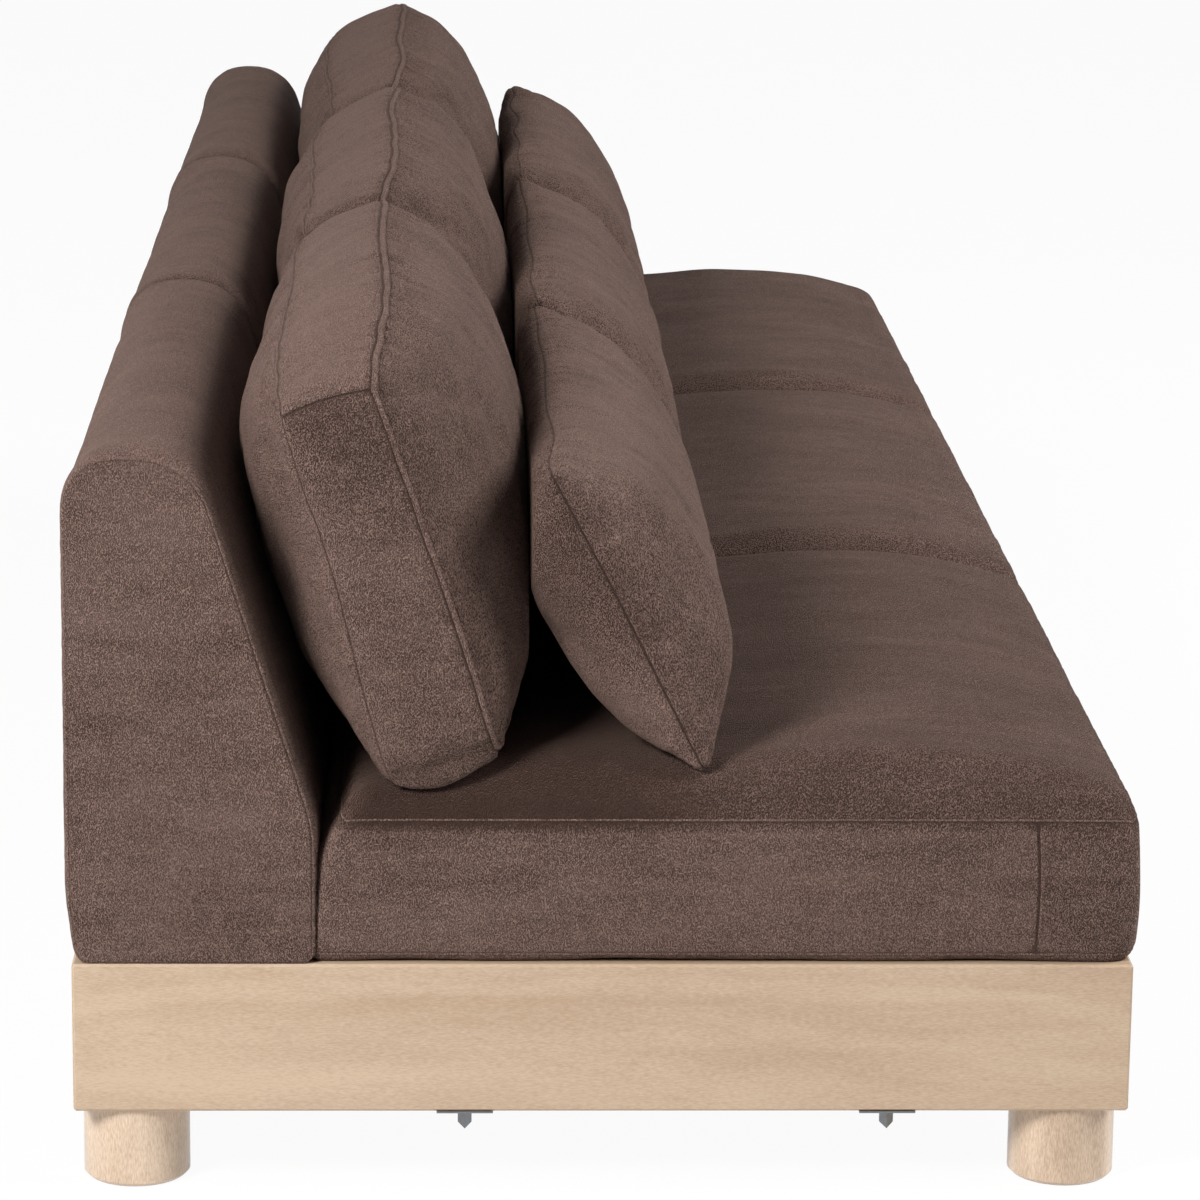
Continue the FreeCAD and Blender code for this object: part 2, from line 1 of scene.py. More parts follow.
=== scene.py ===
"""Dresses the armless modular sofa: velvet backs, cushions and pillows, maple plinths and zinc connectors."""
import json
import math
import bpy
import numpy as np
from bpy.props import FloatProperty, FloatVectorProperty, PointerProperty
from mathutils import Matrix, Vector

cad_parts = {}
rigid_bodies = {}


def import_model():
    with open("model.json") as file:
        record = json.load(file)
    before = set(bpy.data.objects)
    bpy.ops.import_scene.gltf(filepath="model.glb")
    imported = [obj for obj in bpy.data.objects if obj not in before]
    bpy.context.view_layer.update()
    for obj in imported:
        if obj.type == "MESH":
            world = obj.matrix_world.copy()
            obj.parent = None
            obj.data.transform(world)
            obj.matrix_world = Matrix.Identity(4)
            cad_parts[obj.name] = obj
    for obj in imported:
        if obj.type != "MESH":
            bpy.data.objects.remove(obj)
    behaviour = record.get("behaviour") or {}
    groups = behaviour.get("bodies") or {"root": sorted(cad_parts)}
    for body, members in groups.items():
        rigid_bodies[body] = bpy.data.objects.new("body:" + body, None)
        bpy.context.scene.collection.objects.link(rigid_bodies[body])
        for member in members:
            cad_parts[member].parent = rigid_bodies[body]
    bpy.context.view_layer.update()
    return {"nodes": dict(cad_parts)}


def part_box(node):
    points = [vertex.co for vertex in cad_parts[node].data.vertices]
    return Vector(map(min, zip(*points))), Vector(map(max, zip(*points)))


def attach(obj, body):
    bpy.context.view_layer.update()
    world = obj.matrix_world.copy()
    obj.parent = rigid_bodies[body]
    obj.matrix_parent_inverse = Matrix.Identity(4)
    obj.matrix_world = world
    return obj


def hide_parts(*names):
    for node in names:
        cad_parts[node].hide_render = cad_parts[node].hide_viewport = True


bl_info = {
    "name": "Modular sofa dressing",
    "version": (1, 0, 0),
    "blender": (4, 5, 0),
    "location": "3D View > Sidebar > Sofa",
    "description": "Upholstery, timber, steel and studio for an armless modular sofa",
    "category": "Object",
}

for leftover in list(bpy.data.objects):
    bpy.data.objects.remove(leftover)
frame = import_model()

MODULES = ("left", "middle", "right")
END_BOARDS = ("prong_end_panel", "socket_end_panel")
APRONS = ("rear_apron", "front_apron")
INNER_TIMBER = ("glue_blocks", "deck_cleats", "deck_slats", "back_frame")
STEEL = ("connector_prongs", "connector_sockets", "connector_screws", "frame_bolts")

# Lengths are metres. Sections are drawn as (setback, height), with setback from the base's rear face at REAR
REAR = 0.5305
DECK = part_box("left_deck_slats")[1][2]
OVER_DECK, OVER_SEAT, OFF_NEIGHBOUR = 0.0006, 0.0012, 0.001
SEAT_REAR, SEAT_FRONT, SEAT_SEAM, SEAT_SHOULDER = 0.2485, 1.0745, DECK + 0.1455, 0.046
SEAT_UPRIGHT, SEAT_HEM_SHARE = 0.974, -0.86
BACK_SLOPE = math.radians(17.5)
BACK_SEAM, BACK_HEIGHT, BACK_BOX, BACK_ARCH = (0.3216, 0.4203), 0.396, 0.112, 0.055
BACK_REACH = 0.0818
PILLOW_LEAN = math.radians(28)
PILLOW_SEAM, PILLOW_HEIGHT, PILLOW_GROOVE = (0.6356, 0.4403), 0.336, 0.0035
BETWEEN_CUSHIONS = 0.4591
NO_SEAM = 0.05

# How much painted shade darkens each module's seat top, and how far its back cushion's near top corner is
# lifted, which also sets the painted shadow at that end
SEAT_TOP_SHADE = (0.36, 0.14, 0.12)
LIFT_AND_SHADE = (0, 0.45, 0.45)
COVER_SEED, SEAT_SEED, BACK_SEED, PILLOW_SEED = 400, 100, 200, 300

FRAMES = range(1, 21)
CLOTH = {"quality": 5, "mass": 0.2, "tension_stiffness": 22, "compression_stiffness": 22,
         "shear_stiffness": 8, "bending_stiffness": 0.4, "use_pressure": True, "uniform_pressure_force": 4.0}

SAWN_DARK, SAWN_LIGHT = (0.5, 0.37, 0.24), (0.74, 0.58, 0.4)

# The camera's yaw, pitch and roll are degrees; a lamp has a size, a place and an aim
CAMERA_PLACE, CAMERA_TURN = (-6.1306, 0.1682, 1.7084), (-2.025, -13.376, 0.654)
KEY_LAMP = (1.8, (-4.8, 3.3, 4.0), (-0.6, 0, 0.5))
FILL_LAMP = (3.4, (-1.4, -4.9, 4.2), (-0.2, 0, 0.5))


class SofaSizes(bpy.types.PropertyGroup):
    """Sizes of the soft pieces."""
    seat_crown: FloatProperty(name="Seat crown", description="Rise of a seat's top over its shoulder",
                              default=0.024, min=0, max=0.05, subtype="DISTANCE", unit="LENGTH")
    seat_lap: FloatProperty(name="Seat front", description="Extra rise of a seat in front of the pillow",
                            default=0.011, min=0, max=0.03, subtype="DISTANCE", unit="LENGTH")
    seat_roll: FloatProperty(name="Seat shoulder", description="Rise of a seat's rolled shoulder",
                             default=0.032, min=0, max=0.06, subtype="DISTANCE", unit="LENGTH")
    back_front: FloatProperty(name="Back cushion front", description="Crown of a back cushion's front panel",
                              default=0.085, min=0, max=0.12, subtype="DISTANCE", unit="LENGTH")
    back_rear: FloatProperty(name="Back cushion rear", description="Crown of a back cushion's rear panel",
                             default=0.074, min=0, max=0.1, subtype="DISTANCE", unit="LENGTH")
    pillow_front: FloatProperty(name="Pillow front", description="Crown of a pillow's front panel",
                                default=0.08, min=0, max=0.12, subtype="DISTANCE", unit="LENGTH")
    pillow_rear: FloatProperty(name="Pillow rear", description="Crown of a pillow's rear panel",
                               default=0.079, min=0, max=0.12, subtype="DISTANCE", unit="LENGTH")
    pucker: FloatProperty(name="Pucker", description="Depth of the puckers along a seam",
                          default=0.0024, min=0, max=0.006, subtype="DISTANCE", unit="LENGTH")
    welt: FloatProperty(name="Welt", description="Half the width of the welt on a back cushion",
                        default=0.0036, min=0.001, max=0.01, subtype="DISTANCE", unit="LENGTH")


class SofaColours(bpy.types.PropertyGroup):
    """Colours of the finishes."""
    velvet_shade: FloatVectorProperty(name="Velvet shade", description="Colour of pile brushed away",
                                      size=3, default=(0.038, 0.0185, 0.0135), min=0, max=1, subtype="COLOR")
    velvet_light: FloatVectorProperty(name="Velvet light", description="Colour of pile brushed up",
                                      size=3, default=(0.228, 0.148, 0.123), min=0, max=1, subtype="COLOR")
    maple_dark: FloatVectorProperty(name="Maple dark", description="Dark figure of the plinth timber",
                                    size=3, default=(0.385, 0.268, 0.178), min=0, max=1, subtype="COLOR")
    maple_light: FloatVectorProperty(name="Maple light", description="Light ground of the plinth timber",
                                     size=3, default=(0.51, 0.387, 0.276), min=0, max=1, subtype="COLOR")
    leg_light: FloatVectorProperty(name="Leg light", description="Light ground of the legs' timber",
                                   size=3, default=(0.67, 0.52, 0.39), min=0, max=1, subtype="COLOR")
    zinc: FloatVectorProperty(name="Zinc", description="Colour of the plated steel",
                              size=3, default=(0.24, 0.25, 0.26), min=0, max=1, subtype="COLOR")


class SofaStage(bpy.types.PropertyGroup):
    """Camera and light."""
    lens: FloatProperty(name="Lens", description="Focal length on a 36 mm sensor", default=143.914,
                        min=20, max=400, subtype="DISTANCE_CAMERA", unit="CAMERA")
    key_power: FloatProperty(name="Key light", description="Power of the lamp at the rear, near end",
                             default=450, min=0, max=5000, subtype="POWER", unit="POWER")
    fill_power: FloatProperty(name="Fill light", description="Power of the wide lamp over the front",
                              default=365, min=0, max=5000, subtype="POWER", unit="POWER")


def shell_lattice(nx, ny, nz):
    """Surface of a box cut into nx by ny by nz cells: spots in -1..1 on each axis and quads facing outwards.

    Each of the six sides is a grid of whole numbers; equal numbers on two sides are one spot.
    """
    cells = np.array([nx, ny, nz])
    quads = []
    for axis in range(3):
        first, second = (axis + 1) % 3, (axis + 2) % 3
        i, j = np.meshgrid(np.arange(cells[first] + 1), np.arange(cells[second] + 1), indexing="ij")
        for end in (0, cells[axis]):
            spot = np.zeros(i.shape + (3,), int)
            spot[..., axis] = end
            spot[..., first] = i
            spot[..., second] = j
            ids = (spot[..., 0] * (ny + 1) + spot[..., 1]) * (nz + 1) + spot[..., 2]
            quad = np.stack([ids[:-1, :-1], ids[1:, :-1], ids[1:, 1:], ids[:-1, 1:]], -1).reshape(-1, 4)
            quads.append(quad if end else quad[:, ::-1])
    names, quads = np.unique(np.concatenate(quads), return_inverse=True)
    spots = np.stack([names // ((ny + 1) * (nz + 1)), names // (nz + 1) % (ny + 1), names % (nz + 1)], -1)
    return spots * 2.0 / cells - 1.0, quads.reshape(-1, 4)


def crowd_to_edges(share, amount=0.35):
    """Moves shares in -1..1 towards the ends, s + k sin(pi s) / pi, so that seams get the finer cells."""
    return share + amount * np.sin(np.pi * share) / np.pi


def round_corners(along, across, half_along, half_across, radius):
    """Maps a rectangle onto one with round corners: each corner square is squeezed into a quarter disc."""
    over_x = np.maximum(np.abs(along) - (half_along - radius), 0)
    over_y = np.maximum(np.abs(across) - (half_across - radius), 0)
    reach = np.maximum(np.hypot(over_x, over_y), 1e-9)
    squeeze = 1 - np.maximum(over_x, over_y) / reach
    return along - np.sign(along) * over_x * squeeze, across - np.sign(across) * over_y * squeeze


def soft_noise(points, wavelength, seed, waves=9):
    """Smooth noise in about -1..1: a mean of sines along seeded random directions."""
    draw = np.random.default_rng(seed)
    directions = draw.normal(size=(waves, points.shape[1]))
    directions /= np.linalg.norm(directions, axis=1)[:, None]
    lengths = wavelength * draw.uniform(0.7, 1.5, waves)
    phases = draw.uniform(0, 2 * np.pi, waves)
    swings = np.sin(2 * np.pi * points @ directions.T / lengths + phases)
    return swings.sum(axis=1) / math.sqrt(waves)


def rising(distance, run, power=0.5):
    """Rounded rise from 0 at an edge to 1 past a run: (1 - (1 - d / run)^2)^power."""
    return np.maximum(1 - np.clip(1 - distance / run, 0, 1) ** 2, 0) ** power


def leaned(along, up, ahead, origin, lean):
    """Points of a cushion drawn upright at its lower seam and leaned to the rear about that seam."""
    setback = origin[0] + ahead * math.cos(lean) - up * math.sin(lean)
    height = origin[1] + ahead * math.sin(lean) + up * math.cos(lean)
    return np.stack([along, REAR - setback, height], -1)


def read_floats(items, label, width):
    """A value or vector of each item of a collection, as an array with one row for each."""
    flat = np.empty(len(items) * width, np.float32)
    items.foreach_get(label, flat)
    return flat.reshape(-1, width).astype(float)


def mesh_points(mesh):
    """The vertices of a mesh as an array."""
    return read_floats(mesh.vertices, "co", 3)


def set_points(mesh, points):
    """Puts an array back as the vertices of a mesh."""
    mesh.vertices.foreach_set("co", points.astype(np.float32).ravel())
    mesh.update()


def mesh_normals(mesh):
    """The vertex normals of a mesh as an array."""
    return read_floats(mesh.vertex_normals, "vector", 3)


def mesh_marks(mesh, name):
    """A point attribute of a mesh as an array."""
    return read_floats(mesh.attributes[name].data, "value", 1)[:, 0]


def new_piece(name, points, faces, material, **marks):
    """A smooth mesh object at the origin, with its marks kept as point attributes.

    The mark called seam is the distance to a seam, in metres.
    """
    mesh = bpy.data.meshes.new(name)
    mesh.from_pydata(points.tolist(), [], faces)
    mesh.shade_smooth()
    marks.setdefault("seam", np.full(len(points), NO_SEAM))
    for label, values in marks.items():
        layer = mesh.attributes.new(label, "FLOAT", "POINT")
        layer.data.foreach_set("value", np.asarray(values, np.float32))
    mesh.materials.append(material)
    piece = bpy.data.objects.new(name, mesh)
    bpy.context.scene.collection.objects.link(piece)
    return piece


def plump(pieces, cap, shrink, held, give):
    """Fills pieces with Cloth pressure over the FRAMES, without gravity, and keeps the result.

    The held points are the sewn edges, which stay where they are. Cloth near a seam is taken up by the
    shrink, which puckers it. The movement m of a point is softened to cap * tanh(m / cap), times its give.
    """
    scene = bpy.context.scene
    taken_up, levels = 0.018, 10
    starts = []
    for piece in pieces:
        mesh = piece.data
        starts.append(mesh_points(mesh))
        weights = np.exp(-np.abs(mesh_marks(mesh, "seam")) / taken_up)
        group = piece.vertex_groups.new(name="seams")
        for level in range(1, levels + 1):
            chosen = np.nonzero(np.round(weights * levels) == level)[0]
            group.add(chosen.tolist(), level / levels, "REPLACE")
        pins = piece.vertex_groups.new(name="held")
        pins.add(np.nonzero(held)[0].tolist(), 1.0, "REPLACE")
        cloth = piece.modifiers.new("Filling", "CLOTH")
        cloth.collision_settings.use_collision = False
        settings = cloth.settings
        for label, value in CLOTH.items():
            setattr(settings, label, value)
        settings.vertex_group_shrink = "seams"
        settings.shrink_max = shrink
        settings.vertex_group_mass = "held"
        settings.effector_weights.gravity = 0
    for number in FRAMES:
        scene.frame_set(number)
    graph = bpy.context.evaluated_depsgraph_get()
    filled = [mesh_points(piece.evaluated_get(graph).data) for piece in pieces]
    for piece, start, end in zip(pieces, starts, filled):
        piece.modifiers.clear()
        piece.vertex_groups.clear()
        step = end - start
        length = np.maximum(np.linalg.norm(step, axis=1), 1e-9)[:, None]
        set_points(piece.data, start + step / length * cap * np.tanh(length / cap) * give[:, None])
    scene.frame_set(1)


def smooth_once(piece):
    """Adds one round of subdivision, the same on screen and in renders."""
    smooth = piece.modifiers.new("Smooth", "SUBSURF")
    smooth.levels = 1
    smooth.render_levels = 1


def refine(piece):
    """Bakes one round of subdivision into the mesh; its first vertices stay those of the coarse mesh."""
    smooth_once(piece)
    graph = bpy.context.evaluated_depsgraph_get()
    fine = bpy.data.meshes.new_from_object(piece.evaluated_get(graph), depsgraph=graph)
    piece.modifiers.clear()
    coarse = piece.data
    piece.data = fine
    bpy.data.meshes.remove(coarse)
    fine.name = piece.name
    return fine


def add_unevenness(mesh, seed, depth, wavelength, pucker):
    """Moves points along their normals: slow unevenness, and puckers that fade away from the seams.

    A pucker is noise along the run of the nearest seam, times exp(-distance / fade).
    """
    wide, tight, fade, stitch, calm = 0.03, 0.011, 0.016, 0.003, 0.03
    points, normals = mesh_points(mesh), mesh_normals(mesh)
    seam, run = np.abs(mesh_marks(mesh, "seam")), mesh_marks(mesh, "run")
    slow = soft_noise(points, wavelength, seed) + 0.4 * soft_noise(points, wavelength * 0.35, seed + 1)
    gather = soft_noise(run[:, None], wide, seed + 2) + 0.6 * soft_noise(run[:, None], tight, seed + 3)
    near = np.exp(-seam / fade) * (1 - np.exp(-seam / stitch))
    push = depth * slow * (1 - np.exp(-seam / calm)) + pucker * gather * near
    set_points(mesh, points + normals * push[:, None])


def ring_order(spots, side):
    """Indices of the lattice spots round one panel's seam, in order: the panel's third share is the side."""
    on_seam = (spots[:, 2] == side) & ((np.abs(spots[:, 0]) == 1) | (np.abs(spots[:, 1]) == 1))
    index = np.nonzero(on_seam)[0]
    a, b = spots[index, 0], spots[index, 1]
    place = np.where(b == -1, a, np.where(a == 1, 2 + b, np.where(b == 1, 4 - a, 6 - b)))
    return index[np.argsort(place, kind="stable")]


def tube_quads(rings, sides, closed):
    """Quads between neighbouring rings of a tube; a closed tube's last ring is joined to its first."""
    ring, spoke = np.meshgrid(np.arange(rings if closed else rings - 1), np.arange(sides), indexing="ij")
    after, beside = (ring + 1) % rings * sides, (spoke + 1) % sides
    ring = ring * sides
    return np.stack([ring + spoke, ring + beside, after + beside, after + spoke], -1).reshape(-1, 4)


def ridge(path, outward, width, flat, closed=True, sides=8, tip=0.35):
    """A sewn ridge: an ellipse carried along a path, flattened outwards and tapered at open ends."""
    if closed:
        tangent = np.roll(path, -1, axis=0) - np.roll(path, 1, axis=0)
    else:
        tangent = np.gradient(path, axis=0)
    tangent /= np.linalg.norm(tangent, axis=1)[:, None]
    outward = outward - tangent * (outward * tangent).sum(axis=1)[:, None]
    outward /= np.linalg.norm(outward, axis=1)[:, None]
    across = np.cross(tangent, outward)
    size = np.ones(len(path))
    if not closed:
        size[[0, -1]] = tip
    turn = np.arange(sides) * 2 * np.pi / sides
    points = (path[:, None] + (size[:, None] * width * np.cos(turn))[..., None] * across[:, None]
              + (size[:, None] * width * flat * np.sin(turn))[..., None] * outward[:, None]).reshape(-1, 3)
    quads = tube_quads(len(path), sides, closed).tolist()
    if not closed:
        quads += [list(range(sides))[::-1], list(range((len(path) - 1) * sides, len(path) * sides))]
    return points, quads


def sew(name, mesh, index, body, velvet, width, beside=(0, 0, 0), flat=0.8, sink=0.2, closed=True):
    """Sews a ridge along vertices of a finished mesh, set a little beside them, as a piece of its own.

    The way beside is flattened onto the surface, w - n (w . n), so that the ridge follows the cloth.
    """
    path, outward = mesh_points(mesh)[index], mesh_normals(mesh)[index]
    aside = np.array(beside) - outward * (outward @ np.array(beside))[:, None]
    points, quads = ridge(path + aside - outward * width * sink, outward, width, flat, closed)
    # Painted highlight: a sewn ridge gets a lighter tone along its length
    ridge_highlight = 0.1
    piece = new_piece(name, points, quads, velvet, brush=np.full(len(points), ridge_highlight))
    smooth_once(piece)
    declare(piece, body, ())


def declare(piece, body, nodes):
    """Attaches a soft piece to the body it rides on and hides the solids it stands for."""
    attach(piece, body)
    if nodes:
        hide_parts(*nodes)


def seam_run(along, across, from_end, from_side):
    """Place along the nearest seam, with an offset for each side, so that the puckers of two sides differ."""
    end_offset, side_offset = 3, 7
    return (np.where(from_end < from_side, across, along)
            + np.sign(along) * end_offset + np.sign(across) * side_offset)


def seat_rise(from_end, from_side, setback, sizes):
    """Height of a seat's top over its seam: a rolled shoulder, a slow crown and a fuller front.

    The shoulder is a quarter ellipse, and the crowns are parabolas, each by the distance in from the edges.
    """
    crown_start, crown_end_run, crown_side_run = 0.006, 0.07, 0.18
    lap_start, lap_blend, lap_end_run, lap_side_run = 0.65, 0.16, 0.06, 0.13
    shoulder = rising(from_end, SEAT_SHOULDER) * rising(from_side, SEAT_SHOULDER)
    crown = (rising(from_end - crown_start, crown_end_run, 1)
             * rising(from_side - SEAT_SHOULDER, crown_side_run, 1))
    free = np.clip((setback - lap_start) / lap_blend, 0, 1)
    lap = free ** 2 * (3 - 2 * free) * rising(from_end, lap_end_run, 1) * rising(from_side, lap_side_run, 1)
    return sizes.seat_roll * shoulder + sizes.seat_crown * crown + sizes.seat_lap * lap


def rest_on_seat(points, module, sizes):
    """Lets a cushion's ends droop over the seat's roll, then lifts what would sink onto the seat."""
    droop, droop_run, droop_top, droop_fade = 0.016, 0.12, 0.62, 0.15
    low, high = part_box(f"{module}_seat_cushion")
    from_end = np.maximum(np.minimum(points[:, 0] - low[0], high[0] - points[:, 0]), 0)
    setback = REAR - points[:, 1]
    from_side = np.minimum(setback - SEAT_REAR, SEAT_FRONT - setback)
    near_seat = np.clip((droop_top - points[:, 2]) / droop_fade, 0, 1)
    points[:, 2] -= droop * (1 - rising(from_end, droop_run, 1)) * near_seat
    top = SEAT_SEAM + seat_rise(from_end, from_side, setback, sizes)
    points[:, 2] = np.maximum(points[:, 2], top + OVER_SEAT)


def seat_lines(spots):
    """The lattice shares nearest to a seat's upright seam and to its hem line."""
    setback = (SEAT_FRONT + SEAT_REAR - crowd_to_edges(spots[:, 1]) * (SEAT_FRONT - SEAT_REAR)) / 2
    column = spots[np.abs(setback - SEAT_UPRIGHT).argmin(), 1]
    return column, spots[np.abs(spots[:, 2] - SEAT_HEM_SHARE).argmin(), 2]


def seat_form(spots, left, right, sizes, top_shade):
    """Seat cushion: flat underside with a tucked hem, boxed sides that swell by 1 - c^2, and the risen top.

    The rear side leans: its foot swells to meet the back, and its top edge is rolled away from the back.
    """
    hem_tuck, hem_share, side_swell, side_inset = 0.005, 0.18, 0.004, 0.004
    front_radius, rear_radius, rear_growth = 0.026, 0.012, 0.007
    foot_swell, roll_depth, roll_start = 0.005, 0.02, 0.35
    off_groove, strip_nap = 0.0012, -0.12
    shade_start, shade_run, shade_gain = 0.5, 0.35, 1.6
    half_x, half_y = (right - left) / 2, (SEAT_FRONT - SEAT_REAR) / 2
    x, y = crowd_to_edges(spots[:, 0]) * half_x, crowd_to_edges(spots[:, 1]) * half_y
    c = spots[:, 2]
    from_x, from_y = half_x - np.abs(x), half_y - np.abs(y)
    setback = (SEAT_FRONT + SEAT_REAR) / 2 - y
    foot = DECK + OVER_DECK
    z = np.where(c == 1, SEAT_SEAM + seat_rise(from_x, from_y, setback, sizes),
                 foot + (c + 1) / 2 * (SEAT_SEAM - foot))
    tuck = hem_tuck * np.clip(1 - (c + 1) / hem_share, 0, 1) ** 2
    swell = side_swell * np.where(c < 1, 1 - c ** 2, 0)
    radius = np.where(y > 0, rear_radius + rear_growth * (c + 1), front_radius)
    x, y = round_corners(x, y, half_x, half_y, radius)
    reach = swell - tuck - side_inset
    rolled = np.clip((c - roll_start) / (1 - roll_start), 0, 1) ** 2
    to_back = np.where(y > 0, foot_swell * (1 - c) - roll_depth * rolled, reach)
    points = np.stack([(left + right) / 2 + x * (1 + reach / half_x),
                       REAR - (SEAT_FRONT + SEAT_REAR) / 2 + y * (1 + to_back / half_y), z], -1)
    on_end, on_side = np.abs(spots[:, 0]) == 1, np.abs(spots[:, 1]) == 1
    upright, level = seat_lines(spots)
    strip = (SEAT_FRONT - SEAT_REAR) / 2 * (crowd_to_edges(upright) - crowd_to_edges(spots[:, 1]))
    hem = np.abs(c - level) / 2 * (SEAT_SEAM - foot)
    on_box = np.minimum(np.minimum(SEAT_SEAM - z, hem) + off_groove, np.where(on_end, np.abs(strip), 1))
    seam = np.where(on_end | on_side, on_box, np.minimum(from_x, from_y) + off_groove)
    # Painted shade on the top: darker all over, and more towards the rear under the pillow and the back
    # cushion, where their shadow falls; the end's front strip gets its own nap tone
    under_pillow = 1 - np.clip((setback - shade_start) / shade_run, 0, 1)
    top_shade = top_shade * (1 + shade_gain * under_pillow ** 2)
    brush = np.where(on_end & (strip > 0) & (c < 1), strip_nap, np.where(c == 1, -top_shade, 0))
    return points, {"seam": np.where(c == -1, NO_SEAM, seam), "run": seam_run(x, y, from_x, from_y),
                    "brush": brush}


class SOFA_OT_seats(bpy.types.Operator):
    """Makes the loose seat cushions with their seams and hems"""
    bl_idname = "sofa.seats"
    bl_label = "Seat cushions"

    def execute(self, context):
        sizes = context.scene.sofa_sizes
        velvet = velvet_material(context.scene.sofa_colours)
        spots, faces = shell_lattice(84, 68, 14)
        pieces = []
        inset = 0.0005
        for module, top_shade in zip(MODULES, SEAT_TOP_SHADE):
            low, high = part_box(f"{module}_seat_cushion")
            points, marks = seat_form(spots, low[0] + inset, high[0] - inset, sizes, top_shade)
            pieces.append(new_piece(f"{module}_seat_pad", points, faces.tolist(), velvet, **marks))
        column, level = seat_lines(spots)
        for number, (module, piece) in enumerate(zip(MODULES, pieces)):
            mesh = refine(piece)
            add_unevenness(mesh, SEAT_SEED + 10 * number, depth=0.0012, wavelength=0.2,
                           pucker=sizes.pucker * 0.5)
            body = f"{module}_seat"
            declare(piece, body, (f"{module}_seat_cushion", f"{module}_seat_foam"))
            sew(f"{module}_seat_seam", mesh, ring_order(spots, 1), body, velvet, width=0.0012,
                beside=(0, 0, 0.002))
            sew(f"{module}_seat_hem", mesh, ring_order(spots, level), body, velvet, width=0.0014,
                beside=(0, 0, -0.002))
            for side, end in (("near", -1), ("far", 1)):
                upright = np.nonzero((spots[:, 0] == end) & (spots[:, 1] == column))[0]
                upright = upright[np.argsort(spots[upright, 2])][2:]
                sew(f"{module}_seat_{side}_upright", mesh, upright, body, velvet, width=0.0016,
                    beside=(0, -0.0024, 0), closed=False)
        return {"FINISHED"}


def back_form(spots, left, right, sizes, lift_and_shade):
    """Boxed cushion: two crowned panels and a boxing strip between them, leaned against the back.

    A panel's crown is C * (1 - |a|^m)^k * (1 - |b|^n)^k over the shares a along and b up, with a larger n in
    the upper half. The top edge arches by a power of a, down to its lifted near corner, and tips forward
    with its arch. The boxing swells by 1 - c^2 between its seams. Light and shade are painted into the
    tone: the top boxing lighter, the end boxing lighter but darker under its top seam and at its foot, the
    front panel darker near its top edge and its ends, and, on the middle and right cushions, a painted
    shadow at the near end, in the gap to the next cushion.
    """
    power_along, power_below, power_above, roundness = 3.6, 2.9, 4.6, 0.7
    radius_below, radius_above, waist = 0.055, 0.028, 0.008
    swell_end, swell_foot, swell_top = 0.009, 0.02, 0.008
    far_arch, near_arch, arch_rear, arch_growth = 6, 2.4, 0.8, 0.2
    thinner_corner, corner_start, tip_forward, stitch = 0.16, 0.6, 0.013, 1.8
    painted_end_light, painted_head_shade, painted_foot_shade, painted_top_light = 0.06, 0.34, 0.2, 0.16
    edge_shade, edge_fade, side_shade, side_fade, joint_shade_fade = 0.14, 0.05, 0.2, 0.045, 0.04
    half, half_up = (right - left) / 2, BACK_HEIGHT / 2
    a, b, c = crowd_to_edges(spots[:, 0]), crowd_to_edges(spots[:, 1]), spots[:, 2]
    along, up = a * half, b * half_up
    from_end, from_edge = half - np.abs(along), half_up - np.abs(up)
    run = seam_run(along, up, from_end, from_edge)
    power_up = np.where(b < 0, power_below, power_above)
    crown = (np.maximum(1 - np.abs(a) ** power_along, 0) ** roundness
             * np.maximum(1 - np.abs(b) ** power_up, 0) ** roundness)
    along, up = round_corners(along, up, half, half_up, np.where(b < 0, radius_below, radius_above))
    rise = (b + 1) / 2
    crest = np.where(a > 0, 1 - np.abs(a) ** far_arch, 1 - (1 - lift_and_shade) * np.abs(a) ** near_arch) * rise ** 2
    up = up + half_up + BACK_ARCH * (arch_rear + arch_growth * c) * crest
    along = along * (1 - waist * (1 - b ** 2))
    panel = np.abs(c) == 1
    swell = np.where(panel, 0, 1 - c ** 2)
    on_end, on_edge = np.abs(spots[:, 0]) == 1, np.abs(spots[:, 1]) == 1
    along = along + np.where(on_end, np.sign(a) * swell_end * swell, 0)
    up = up + np.where(on_edge, np.sign(b) * np.where(b < 0, swell_foot, swell_top) * swell, 0)
    taper = 1 - thinner_corner * rise * np.clip((np.abs(a) - corner_start) / (1 - corner_start), 0, 1)
    ahead = BACK_BOX / 2 * (1 + c * taper) + tip_forward * crest
    ahead = ahead + crown * np.where(c == 1, sizes.back_front, np.where(c == -1, -sizes.back_rear, 0))
    points = leaned((left + right) / 2 + along, up, ahead, BACK_SEAM, BACK_SLOPE)
    to_ring = np.where(panel, np.minimum(from_end, from_edge), BACK_BOX / 2 * (1 - np.abs(c)))
    to_cross_seam = np.where(on_end, from_edge, from_end) * stitch
    seam = np.minimum(to_ring, np.where(~panel & (b > 0), to_cross_seam, 1))
    # Painted light and shade: the end boxing lighter but darker under its top seam and at its foot, the top
    # boxing lighter, the front panel darker near its top edge and near its ends
    ends = painted_end_light - painted_head_shade * rise ** 3 - painted_foot_shade * (1 - rise) ** 3
    brush = np.where(on_end & ~panel, ends, np.where(on_edge & (b > 0) & ~panel, painted_top_light, 0))
    brush = brush - np.where(c == 1, edge_shade * rise ** 2 * np.exp(-from_edge / edge_fade)
                             + side_shade * np.exp(-from_end / side_fade), 0)
    # Painted shadow at the near end of the middle and right cushions, in the gap to the next cushion, by the
    # same amount that raises that corner
    brush = brush - np.where(a < 0, lift_and_shade * rise * np.exp(-from_end / joint_shade_fade), 0)
    return points, {"seam": seam, "run": run, "brush": brush}


